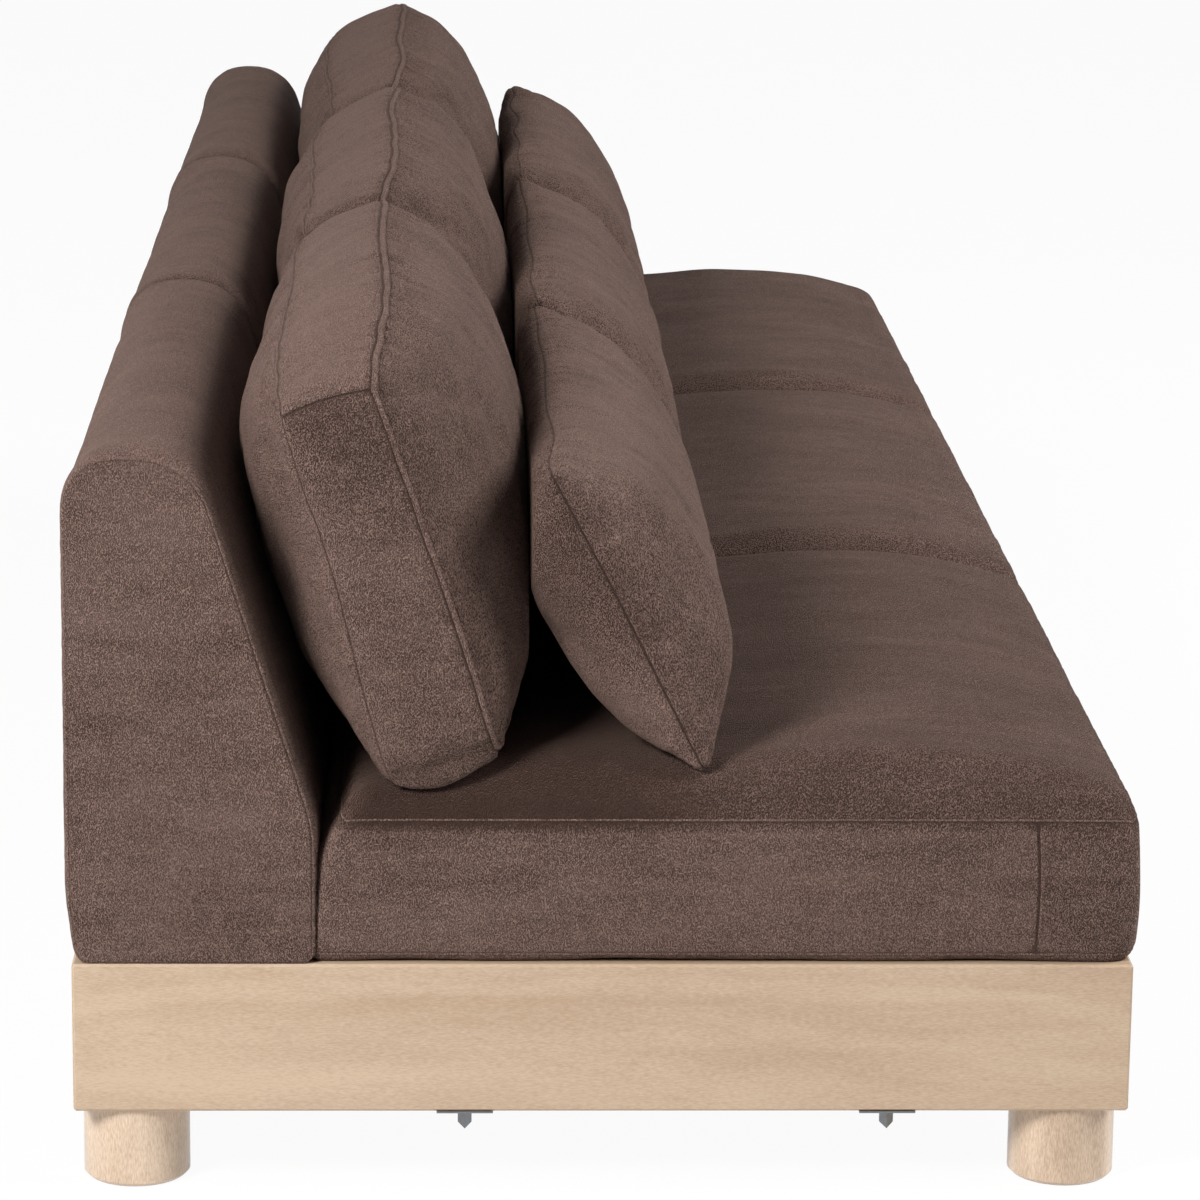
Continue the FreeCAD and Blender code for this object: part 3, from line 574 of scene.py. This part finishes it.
class SOFA_OT_back_cushions(bpy.types.Operator):
    """Makes the boxed back cushions, the welt round each front panel and the seam round each rear one"""
    bl_idname = "sofa.back_cushions"
    bl_label = "Back cushions"

    def execute(self, context):
        sizes = context.scene.sofa_sizes
        velvet = velvet_material(context.scene.sofa_colours)
        spots, faces = shell_lattice(90, 38, 10)
        pieces = []
        inset, spread, sway_depth, sway_length = 0.001, 0.005, 0.004, 0.3
        ripple_depth, ripple_length, ripple_fade = 0.001, 0.075, 0.03
        upper_start, upper_run, boxing_give = 0.5, 0.2, 0.35
        for number, (module, lift_and_shade) in enumerate(zip(MODULES, LIFT_AND_SHADE)):
            low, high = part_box(f"{module}_back_cushion")
            points, marks = back_form(spots, low[0] + inset, high[0] - inset, sizes, lift_and_shade)
            sway = soft_noise(points, sway_length, BACK_SEED + number)
            ripple = soft_noise(marks["run"][:, None], ripple_length, BACK_SEED + 5 + number)
            ripple = ripple * np.exp(-np.abs(marks["seam"]) / ripple_fade)
            upper = np.clip((points[:, 2] - upper_start) / upper_run, 0, 1)
            points[:, 1] += (sway_depth * sway + ripple_depth * ripple) * upper
            pieces.append(new_piece(f"{module}_back_pad", points, faces.tolist(), velvet, **marks))
        on_panel = np.abs(spots[:, 2]) == 1
        on_seam = on_panel & (np.abs(spots[:, :2]).max(axis=1) == 1)
        plump(pieces, cap=0.018, shrink=0.02, held=on_seam, give=np.where(on_panel, 1.0, boxing_give))
        forward = np.array([0, -math.cos(BACK_SLOPE), math.sin(BACK_SLOPE)])
        for number, (module, piece) in enumerate(zip(MODULES, pieces)):
            mesh = refine(piece)
            add_unevenness(mesh, BACK_SEED + 10 * (number + 1), depth=0.0018, wavelength=0.12,
                           pucker=sizes.pucker)
            points = mesh_points(mesh)
            ahead = (REAR - points[:, 1] - BACK_SEAM[0]) * math.cos(BACK_SLOPE)
            ahead = ahead + (points[:, 2] - BACK_SEAM[1]) * math.sin(BACK_SLOPE)
            points += np.maximum(-BACK_REACH - ahead, 0)[:, None] * forward
            points[:, 1] = np.maximum(points[:, 1], REAR - BETWEEN_CUSHIONS + OFF_NEIGHBOUR)
            low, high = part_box(f"{module}_back_cushion")
            points[:, 0] = np.clip(points[:, 0], low[0] - spread, high[0] + spread)
            rest_on_seat(points, module, sizes)
            set_points(mesh, points)
            body = f"{module}_back"
            declare(piece, body, (f"{module}_back_cushion", f"{module}_back_filling"))
            front, rear = ring_order(spots, 1), ring_order(spots, -1)
            sew(f"{module}_back_welt", mesh, front, body, velvet, sizes.welt, beside=0.004 * forward)
            sew(f"{module}_back_rear_seam", mesh, rear, body, velvet, width=0.002, beside=-0.0026 * forward)
        return {"FINISHED"}


def pillow_form(spots, left, right, sizes):
    """Knife-edge pillow: two crowned panels that meet in a sunk seam, its edges drawn in between the corners.

    A panel's crown is C * e * (1 - |b|^n)^k over the share b up, where e is a rounded rise in from its end.
    """
    end_run, end_power, power_up, roundness = 0.11, 0.55, 2.8, 0.6
    corner, ends_in, edges_in, off_groove = 0.014, 0.018, 0.035, 0.006
    rear_shade, rear_start, end_shade, end_fade = 0.34, -0.5, 0.2, 0.03
    half, half_up = (right - left) / 2, PILLOW_HEIGHT / 2
    a, b, c = crowd_to_edges(spots[:, 0]), crowd_to_edges(spots[:, 1]), spots[:, 2]
    along, up = a * half, b * half_up
    from_end, from_edge = half - np.abs(along), half_up - np.abs(up)
    run = seam_run(along, up, from_end, from_edge)
    crown = rising(from_end, end_run, end_power) * np.maximum(1 - np.abs(b) ** power_up, 0) ** roundness
    along, up = round_corners(along, up, half, half_up, corner)
    along = along * (1 - ends_in * (1 - b ** 2))
    up = up * (1 - edges_in * (1 - a ** 2)) + half_up
    along = along - np.where((c == 0) & (np.abs(a) == 1), np.sign(a) * PILLOW_GROOVE, 0)
    up = up - np.where((c == 0) & (np.abs(b) == 1), np.sign(b) * PILLOW_GROOVE, 0)
    ahead = c * PILLOW_GROOVE
    ahead = ahead + crown * np.where(c == 1, sizes.pillow_front, np.where(c == -1, -sizes.pillow_rear, 0))
    points = leaned((left + right) / 2 + along, up, ahead, PILLOW_SEAM, PILLOW_LEAN)
    seam = np.minimum(from_end, from_edge) + off_groove * np.abs(c)
    # Painted shade: the rear panel darkens towards its top, where it faces the back cushion, and the front
    # panel darkens near its ends
    brush = -np.where(c == -1, rear_shade * np.clip(b - rear_start, 0, 1),
                      end_shade * np.exp(-from_end / end_fade))
    return points, {"seam": seam, "run": run, "brush": brush}


class SOFA_OT_pillows(bpy.types.Operator):
    """Makes the knife-edge lumbar pillows"""
    bl_idname = "sofa.pillows"
    bl_label = "Lumbar pillows"

    def execute(self, context):
        sizes = context.scene.sofa_sizes
        velvet = velvet_material(context.scene.sofa_colours)
        spots, faces = shell_lattice(92, 36, 2)
        pieces = []
        outset, sway_depth, sway_length, sway_fade = 0.01, 0.003, 0.3, 0.06
        for number, module in enumerate(MODULES):
            low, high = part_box(f"{module}_lumbar_pillow")
            points, marks = pillow_form(spots, low[0] - outset, high[0] + outset, sizes)
            sway = soft_noise(points[:, :1], sway_length, PILLOW_SEED + number)
            points[:, 1] += sway_depth * sway * np.exp(-marks["seam"] / sway_fade)
            pieces.append(new_piece(f"{module}_pillow_pad", points, faces.tolist(), velvet, **marks))
        on_seam = np.abs(spots[:, :2]).max(axis=1) == 1
        plump(pieces, cap=0.016, shrink=0.04, held=on_seam, give=np.ones(len(spots)))
        for number, (module, piece) in enumerate(zip(MODULES, pieces)):
            mesh = refine(piece)
            add_unevenness(mesh, PILLOW_SEED + 10 * (number + 1), depth=0.0016, wavelength=0.1,
                           pucker=sizes.pucker)
            points = mesh_points(mesh)
            points[:, 1] = np.minimum(points[:, 1], REAR - BETWEEN_CUSHIONS - OFF_NEIGHBOUR)
            rest_on_seat(points, module, sizes)
            set_points(mesh, points)
            body = f"{module}_pillow"
            declare(piece, body, (f"{module}_lumbar_pillow", f"{module}_pillow_filling"))
        return {"FINISHED"}


def rounded_outline(corners, steps):
    """An outline of (setback, height, radius) corners with an arc of so many steps in place of each."""
    outline = []
    for index, (setback, height, radius) in enumerate(corners):
        here = np.array([setback, height])
        before = np.array(corners[index - 1][:2]) - here
        after = np.array(corners[(index + 1) % len(corners)][:2]) - here
        before /= np.linalg.norm(before)
        after /= np.linalg.norm(after)
        half = math.acos(np.clip(before @ after, -1, 1)) / 2
        middle = (before + after) / np.linalg.norm(before + after)
        side = after - middle * (after @ middle)
        side /= np.linalg.norm(side)
        turn = np.linspace(-1, 1, steps)[:, None] * (math.pi / 2 - half)
        outline.append(here + middle * radius / math.sin(half)
                       - middle * radius * np.cos(turn) + side * radius * np.sin(turn))
    return np.concatenate(outline)


def even_loop(outline, count):
    """So many evenly spaced points round a closed outline, by its length."""
    closed = np.concatenate([outline, outline[:1]])
    travel = np.concatenate([[0], np.cumsum(np.linalg.norm(np.diff(closed, axis=0), axis=1))])
    wanted = np.linspace(0, travel[-1], count, endpoint=False)
    return np.stack([np.interp(wanted, travel, closed[:, 0]), np.interp(wanted, travel, closed[:, 1])], -1)


def cover_section(inset, roll, around):
    """Section of a back, drawn in by an inset: hem, knee, sloped front, rolled top and tucked rear."""
    height, knee, depth, overhang, tuck = 0.5285, 0.1415, 0.248, 0.008, 0.066
    hem_radius, knee_radius, crest_radius, rear_radius, steps = 0.008, 0.13, 0.072, 0.16, 14
    top_drop = 1.8
    top, front, rear = DECK + height - top_drop * inset, depth - inset, inset - overhang
    low = DECK + OVER_DECK
    front_top = front - (top - DECK - knee) * math.tan(BACK_SLOPE)
    corners = [(inset, low, hem_radius), (front, low, hem_radius), (front, DECK + knee, knee_radius),
               (front_top, top, crest_radius), (rear, top, roll), (rear, DECK + tuck, rear_radius)]
    return even_loop(rounded_outline(corners, steps), around)


def cover_form(left, right, around=150, along=76):
    """Cover of a back: its section carried along the row and drawn in by an ellipse at both ends.

    An end panel is the last section shrunk in steps towards its middle and closed by a strip, so it is flat.
    """
    end_inset, inset_run, least_roll, more_roll, roll_run = 0.0075, 0.05, 0.046, 0.036, 0.16
    off_groove, run_step = 0.0008, 0.012
    place = crowd_to_edges(np.linspace(-1, 1, along), amount=0.6)
    x = (left + right) / 2 + place * (right - left) / 2
    from_end = (1 - np.abs(place)) * (right - left) / 2
    inset = end_inset * (1 - rising(from_end, inset_run))
    roll = least_roll + more_roll * rising(from_end, roll_run)
    rings = np.stack([cover_section(*drawn, around) for drawn in zip(inset, roll)])
    middle = rings[0].mean(axis=0)
    shrink = np.array([0.985, 0.94, 0.86, 0.74, 0.58, 0.4, 0.2, 0.06])
    cap = middle + (rings[0] - middle) * shrink[:, None, None]
    sections = np.concatenate([cap[::-1], rings, cap])
    stations = np.concatenate([np.full(len(shrink), x[0]), x, np.full(len(shrink), x[-1])])
    points = np.stack([np.repeat(stations, around), REAR - sections[..., 0].ravel(),
                       sections[..., 1].ravel()], -1)
    gap = np.linalg.norm(rings[0] - middle, axis=1) * (1 - shrink[:, None])
    seam = np.concatenate([gap[::-1], np.repeat(from_end[:, None], around, 1), gap]).ravel() + off_groove
    quads = tube_quads(len(stations), around, False)[:, [0, 3, 2, 1]]
    loop, step = np.arange(around), np.arange(around // 2 - 1)
    strip = np.stack([step, step + 1, around - 2 - step, around - 1 - step], -1)
    faces = np.concatenate([quads, strip, strip[:, ::-1] + len(points) - around])
    near, far = len(shrink) * around + loop, (len(shrink) + along - 1) * around + loop
    return points, faces, seam, np.tile(loop * run_step, len(stations)), near, far


class SOFA_OT_backs(bpy.types.Operator):
    """Makes the upholstered backs and the seams round their end panels"""
    bl_idname = "sofa.backs"
    bl_label = "Upholstered backs"

    def execute(self, context):
        sizes = context.scene.sofa_sizes
        velvet = velvet_material(context.scene.sofa_colours)
        joint_shade, joint_fade = -0.5, 0.014
        for number, module in enumerate(MODULES):
            low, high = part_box(f"{module}_back_upholstery")
            points, faces, seam, run, near, far = cover_form(low[0], high[0])
            # Painted shade: each cover darkens towards an end that meets a neighbour's, in the gap between
            # them
            to_near = points[:, 0] - low[0] if number else 1
            to_far = high[0] - points[:, 0] if number < len(MODULES) - 1 else 1
            brush = joint_shade * np.exp(-np.minimum(to_near, to_far) / joint_fade)
            piece = new_piece(f"{module}_back_cover", points, faces.tolist(), velvet, seam=seam, run=run,
                              brush=brush)
            mesh = refine(piece)
            add_unevenness(mesh, COVER_SEED + 10 * number, depth=0.0006, wavelength=0.18,
                           pucker=sizes.pucker * 0.25)
            body = f"{module}_frame"
            declare(piece, body, (f"{module}_back_upholstery",))
            sew(f"{module}_back_near_seam", mesh, near, body, velvet, width=0.0022, beside=(0.0028, 0, 0))
            sew(f"{module}_back_far_seam", mesh, far, body, velvet, width=0.0022, beside=(-0.0028, 0, 0))
        return {"FINISHED"}


def node_group(name, inputs, outputs):
    """A new shader node group with named sockets, and its two end nodes."""
    group = bpy.data.node_groups.new(name, "ShaderNodeTree")
    for label, kind in inputs:
        group.interface.new_socket(label, in_out="INPUT", socket_type=kind)
    for label, kind in outputs:
        group.interface.new_socket(label, in_out="OUTPUT", socket_type=kind)
    return group, group.nodes.new("NodeGroupInput"), group.nodes.new("NodeGroupOutput")


def set_inputs(node, **values):
    """Sets constant inputs of a node by their labels, with _ for a space."""
    for label, value in values.items():
        node.inputs[label.replace("_", " ")].default_value = value


def link_math(tree, operation, *values, clamp=False):
    """A Math node on sockets or numbers; returns its output."""
    node = tree.nodes.new("ShaderNodeMath")
    node.operation = operation
    node.use_clamp = clamp
    for socket, value in zip(node.inputs, values):
        if isinstance(value, (int, float)):
            socket.default_value = value
        else:
            tree.links.new(value, socket)
    return node.outputs[0]


def link_noise(tree, vector, scale, detail=2.0, roughness=0.5, distortion=0.0):
    """A Noise Texture on a vector; returns its value."""
    node = tree.nodes.new("ShaderNodeTexNoise")
    set_inputs(node, Scale=scale, Detail=detail, Roughness=roughness, Distortion=distortion)
    tree.links.new(vector, node.inputs["Vector"])
    return node.outputs["Fac"]


def link_step(tree, value, start, end):
    """A smooth step from 0 at the start to 1 at the end."""
    node = tree.nodes.new("ShaderNodeMapRange")
    node.interpolation_type = "SMOOTHSTEP"
    set_inputs(node, From_Min=start, From_Max=end)
    tree.links.new(value, node.inputs["Value"])
    return node.outputs["Result"]


def stretch(tree, vector, scale, turn=(0, 0, 0)):
    """A Mapping node that scales a vector and then turns it; returns the new vector."""
    node = tree.nodes.new("ShaderNodeMapping")
    set_inputs(node, Scale=scale, Rotation=turn)
    tree.links.new(vector, node.inputs["Vector"])
    return node.outputs["Vector"]


def weighted(tree, start, *terms):
    """A start value plus each term's socket times its weight."""
    total = start
    for socket, weight in terms:
        total = link_math(tree, "MULTIPLY_ADD", socket, weight, total)
    return total


def material_base(name):
    """A new node material; returns it with its tree, its Principled shader and its object coordinates."""
    material = bpy.data.materials.new(name)
    material.use_nodes = True
    tree = material.node_tree
    coordinates = tree.nodes.new("ShaderNodeTexCoord")
    return material, tree, tree.nodes["Principled BSDF"], coordinates.outputs["Object"]


def two_tone(tree, tone, dark, light, shader):
    """Feeds the Base Color from a tone between two colours.

    A Mix node has sockets A and B once for each type of data, so the colour ones are taken by number.
    """
    factor, first, second, result = 0, 6, 7, 2
    mix = tree.nodes.new("ShaderNodeMix")
    mix.data_type = "RGBA"
    mix.inputs[first].default_value = (*dark, 1)
    mix.inputs[second].default_value = (*light, 1)
    tree.links.new(tone, mix.inputs[factor])
    tree.links.new(mix.outputs[result], shader.inputs["Base Color"])


def bump(tree, height, shader, strength, distance):
    """Feeds the Normal from a height through a Bump node."""
    node = tree.nodes.new("ShaderNodeBump")
    set_inputs(node, Strength=strength, Distance=distance)
    tree.links.new(height, node.inputs["Height"])
    tree.links.new(node.outputs["Normal"], shader.inputs["Normal"])


def velvet_nap_group():
    """Pile of velvet: a tone from brushed clouds, streaks and tufts with painted light and shade added, and
    the height of tufts and seam.

    The tufts' noise is set askew, so that no flat face lies along its lattice, where it would fade.
    """
    group, entry, leave = node_group(
        "velvet nap",
        [("Vector", "NodeSocketVector"), ("Seam", "NodeSocketFloat"), ("Brush", "NodeSocketFloat")],
        [("Tone", "NodeSocketFloat"), ("Height", "NodeSocketFloat"), ("Roughness", "NodeSocketFloat")])
    vector = entry.outputs["Vector"]
    askew = (0.6, 0.4, 0.9)
    tufts = link_noise(group, stretch(group, vector, (0.4, 1, 0.6), askew), 1000, 0.0)
    tufts = link_step(group, tufts, 0.3, 0.7)
    fine = link_noise(group, stretch(group, vector, (0.4, 1, 0.75), askew), 330, 1.0, 0.5, 0.3)
    clouds = link_noise(group, stretch(group, vector, (1, 0.55, 1)), 7.0, 3.0, 0.5, 0.6)
    streaks = link_noise(group, stretch(group, vector, (10, 2.0, 10)), 5.0, 3.0, 0.5, 0.4)
    mottle = link_noise(group, vector, 40.0, 2.0, 0.5, 0.4)
    groove = link_step(group, link_math(group, "ABSOLUTE", entry.outputs["Seam"]), 0.0005, 0.003)
    tone = weighted(group, -0.55, (clouds, 0.6), (streaks, 0.5), (mottle, 0.15), (tufts, 0.86), (fine, 0.1))
    # The piece's tone offset is added: painted light and shade, and on the seats also the nap of the end's
    # front strip
    tone = link_math(group, "ADD", tone, entry.outputs["Brush"])
    # Painted shade in the seam grooves: the tone is darkened where the seam distance is small
    shade = weighted(group, 0.1, (groove, 0.9))
    tone = link_math(group, "MULTIPLY", tone, shade, clamp=True)
    height = weighted(group, 0.0, (tufts, 1.0), (fine, 0.5), (mottle, 0.3), (groove, 1.2))
    rough = weighted(group, 0.7, (tufts, 0.3))
    for label, socket in (("Tone", tone), ("Height", height), ("Roughness", rough)):
        group.links.new(socket, leave.inputs[label])
    return group


def velvet_material(colours):
    """Short-pile velvet: brushed tones, painted light and shade, fine tufts, sheen, and grooves, bumped and
    darkened as painted shade, where the seam attribute is small.
    """
    name = "brown velvet"
    ready = bpy.data.materials.get(name)
    if ready:
        return ready
    material, tree, shader, coordinates = material_base(name)
    nap = tree.nodes.new("ShaderNodeGroup")
    nap.node_tree = velvet_nap_group()
    tree.links.new(coordinates, nap.inputs["Vector"])
    # Besides the seam, each piece carries a tone offset of painted light and shade, and on the seats the nap
    # of the front strips
    for label in ("seam", "brush"):
        mark = tree.nodes.new("ShaderNodeAttribute")
        mark.attribute_name = label
        tree.links.new(mark.outputs["Fac"], nap.inputs[label.title()])
    two_tone(tree, nap.outputs["Tone"], colours.velvet_shade, colours.velvet_light, shader)
    tree.links.new(nap.outputs["Roughness"], shader.inputs["Roughness"])
    bump(tree, nap.outputs["Height"], shader, 1.0, 0.0024)
    set_inputs(shader, Specular_IOR_Level=0.15, Sheen_Weight=0.28, Sheen_Roughness=0.38,
               Sheen_Tint=(0.62, 0.42, 0.34, 1))
    return material


def maple_figure_group():
    """Figure of maple: a tone from clouds, growth lines, dashes and fibres, and the height of the fibres."""
    group, entry, leave = node_group("maple figure", [("Vector", "NodeSocketVector")],
                                     [("Tone", "NodeSocketFloat"), ("Height", "NodeSocketFloat")])
    vector = entry.outputs["Vector"]
    figure = link_noise(group, vector, 3.0, 3.0, 0.5, 0.8)
    clouds = link_noise(group, vector, 9.0, 4.0, 0.55, 0.6)
    fibres = link_noise(group, vector, 400.0, 2.0, 0.6)
    curl = group.nodes.new("ShaderNodeTexWave")
    curl.wave_type = "RINGS"
    set_inputs(curl, Scale=1.1, Distortion=7.0, Detail=4.0, Detail_Scale=1.6)
    group.links.new(vector, curl.inputs["Vector"])
    lines = link_step(group, curl.outputs["Fac"], 0.9, 1.0)
    dashes = link_step(group, link_noise(group, vector, 46.0, 2.0, 0.5, 0.2), 0.62, 0.74)
    tone = weighted(group, -1.7, (figure, 1.2), (clouds, 1.2), (fibres, 1.9), (lines, 0.25), (dashes, -0.2))
    tone = link_math(group, "MULTIPLY", tone, 1.0, clamp=True)
    for label, socket in (("Tone", tone), ("Height", fibres)):
        group.links.new(socket, leave.inputs[label])
    return group


def timber_material(name, grain, dark, light, roughness, coat=0.0):
    """Timber with its figure drawn out along one axis: the coordinates are squeezed along the grain."""
    material, tree, shader, coordinates = material_base(name)
    figure = tree.nodes.new("ShaderNodeGroup")
    figure.node_tree = bpy.data.node_groups.get("maple figure") or maple_figure_group()
    across, along = 2.4, 0.4
    scale = [along if axis == grain else across for axis in "XYZ"]
    tree.links.new(stretch(tree, coordinates, scale), figure.inputs["Vector"])
    two_tone(tree, figure.outputs["Tone"], dark, light, shader)
    bump(tree, figure.outputs["Height"], shader, 0.15, 0.0006)
    rough = weighted(tree, roughness, (figure.outputs["Height"], 0.16))
    tree.links.new(rough, shader.inputs["Roughness"])
    set_inputs(shader, Specular_IOR_Level=0.4, Coat_Weight=coat, Coat_Roughness=0.24)
    return material


def finish(nodes, material):
    """Gives solids of every module a finish in place of their plain colour."""
    for module in MODULES:
        for node in nodes:
            mesh = frame["nodes"][f"{module}_{node}"].data
            mesh.materials.clear()
            mesh.materials.append(material)


class SOFA_OT_timber(bpy.types.Operator):
    """Finishes the plinth boards, the legs and the hidden timber"""
    bl_idname = "sofa.timber"
    bl_label = "Timber"

    def execute(self, context):
        colours = context.scene.sofa_colours
        plinth = (colours.maple_dark, colours.maple_light, 0.36)
        turned = (colours.maple_dark, colours.leg_light, 0.3, 0.5)
        finish(END_BOARDS, timber_material("maple across", "Y", *plinth))
        finish(APRONS, timber_material("maple along", "X", *plinth))
        finish(("legs",), timber_material("maple upright", "Z", *turned))
        finish(INNER_TIMBER, timber_material("sawn timber", "Y", SAWN_DARK, SAWN_LIGHT, 0.6))
        return {"FINISHED"}


class SOFA_OT_steel(bpy.types.Operator):
    """Finishes the connectors, screws and bolts in zinc plate"""
    bl_idname = "sofa.steel"
    bl_label = "Connectors and bolts"

    def execute(self, context):
        material, tree, shader, coordinates = material_base("zinc plate")
        spangle = link_noise(tree, coordinates, 240, 3, 0.6)
        brushed = link_noise(tree, stretch(tree, coordinates, (40, 400, 400)), 1.5, 2, 0.5)
        zinc, darker = context.scene.sofa_colours.zinc, 0.7
        two_tone(tree, spangle, [darker * value for value in zinc], zinc, shader)
        tree.links.new(weighted(tree, 0.2, (brushed, 0.25)), shader.inputs["Roughness"])
        set_inputs(shader, Metallic=1.0)
        finish(STEEL, material)
        return {"FINISHED"}


def area_light(name, power, size, place, aim):
    """A soft square lamp at a place, turned to an aim."""
    lamp = bpy.data.lights.new(name, "AREA")
    lamp.energy = power
    lamp.size = size
    lamp_object = bpy.data.objects.new(name, lamp)
    bpy.context.scene.collection.objects.link(lamp_object)
    x, y, z = np.array(aim) - np.array(place)
    lamp_object.location = place
    lamp_object.rotation_euler = (math.atan2(math.hypot(x, y), -z), 0, math.atan2(-x, y))


def white_world():
    """A world that is white to the camera and in reflections, and a soft grey as light."""
    world = bpy.data.worlds.new("studio")
    world.use_nodes = True
    tree = world.node_tree
    background = tree.nodes["Background"]
    rays = tree.nodes.new("ShaderNodeLightPath")
    seen = link_math(tree, "MAXIMUM", rays.outputs["Is Camera Ray"], rays.outputs["Is Glossy Ray"])
    seen = link_math(tree, "MAXIMUM", seen, rays.outputs["Is Transmission Ray"])
    background.inputs["Color"].default_value = (1, 1, 1, 1)
    as_light, more_when_seen = 0.06, 0.94
    strength = link_math(tree, "MULTIPLY_ADD", seen, more_when_seen, as_light)
    tree.links.new(strength, background.inputs["Strength"])
    return world


def pale_floor():
    """A wide floor, white to the camera apart from the object's soft shadow."""
    mesh = bpy.data.meshes.new("floor")
    reach, low, own_white = 60.0, -0.0005, 0.95
    mesh.from_pydata([(-reach, -reach, low), (reach, -reach, low), (reach, reach, low), (-reach, reach, low)],
                     [], [(0, 1, 2, 3)])
    floor = bpy.data.objects.new("floor", mesh)
    bpy.context.scene.collection.objects.link(floor)
    material, tree, shader, _ = material_base("pale floor")
    set_inputs(shader, Base_Color=(0.86, 0.86, 0.86, 1), Roughness=0.9, Specular_IOR_Level=0.0)
    rays = tree.nodes.new("ShaderNodeLightPath")
    seen = link_math(tree, "MAXIMUM", rays.outputs["Is Camera Ray"], rays.outputs["Is Glossy Ray"])
    glow = tree.nodes.new("ShaderNodeEmission")
    mix = tree.nodes.new("ShaderNodeMixShader")
    tree.links.new(link_math(tree, "MULTIPLY", seen, own_white), mix.inputs[0])
    tree.links.new(shader.outputs[0], mix.inputs[1])
    tree.links.new(glow.outputs[0], mix.inputs[2])
    tree.links.new(mix.outputs[0], tree.nodes["Material Output"].inputs["Surface"])
    mesh.materials.append(material)


class SOFA_OT_stage(bpy.types.Operator):
    """Sets the floor, the light and the camera at the photograph's angle"""
    bl_idname = "sofa.stage"
    bl_label = "Studio"

    def execute(self, context):
        settings = context.scene.sofa_stage
        scene = context.scene
        scene.view_settings.view_transform = "Standard"
        scene.world = white_world()
        pale_floor()
        area_light("key", settings.key_power, *KEY_LAMP)
        area_light("fill", settings.fill_power, *FILL_LAMP)
        camera = bpy.data.cameras.new("photograph")
        camera.lens = settings.lens
        camera.sensor_width = 36.0
        camera.clip_end = 200
        view = bpy.data.objects.new("photograph", camera)
        scene.collection.objects.link(view)
        yaw, pitch, roll = (math.radians(angle) for angle in CAMERA_TURN)
        turn = (Matrix.Rotation(yaw - math.pi / 2, 4, "Z") @ Matrix.Rotation(math.pi / 2 + pitch, 4, "X")
                @ Matrix.Rotation(roll, 4, "Z"))
        view.location = CAMERA_PLACE
        view.rotation_euler = turn.to_euler()
        scene.camera = view
        return {"FINISHED"}


class SOFA_PT_panel(bpy.types.Panel):
    """Lists the steps that dress the sofa"""
    bl_idname = "SOFA_PT_panel"
    bl_label = "Modular sofa"
    bl_space_type = "VIEW_3D"
    bl_region_type = "UI"
    bl_category = "Sofa"

    def draw(self, context):
        for operator in OPERATORS:
            self.layout.operator(operator.bl_idname)


OPERATORS = (SOFA_OT_backs, SOFA_OT_seats, SOFA_OT_back_cushions, SOFA_OT_pillows, SOFA_OT_timber,
             SOFA_OT_steel, SOFA_OT_stage)
CLASSES = (SofaSizes, SofaColours, SofaStage) + OPERATORS + (SOFA_PT_panel,)


def register():
    """Registers the classes and hangs the settings on the scene."""
    for cls in CLASSES:
        bpy.utils.register_class(cls)
    bpy.types.Scene.sofa_sizes = PointerProperty(type=SofaSizes)
    bpy.types.Scene.sofa_colours = PointerProperty(type=SofaColours)
    bpy.types.Scene.sofa_stage = PointerProperty(type=SofaStage)


def unregister():
    """Takes the settings and classes away again."""
    del bpy.types.Scene.sofa_stage
    del bpy.types.Scene.sofa_colours
    del bpy.types.Scene.sofa_sizes
    for cls in reversed(CLASSES):
        bpy.utils.unregister_class(cls)


def main():
    register()
    bpy.ops.sofa.backs()
    bpy.ops.sofa.seats()
    bpy.ops.sofa.back_cushions()
    bpy.ops.sofa.pillows()
    bpy.ops.sofa.timber()
    bpy.ops.sofa.steel()
    bpy.ops.sofa.stage()


if __name__ == "__main__":
    main()
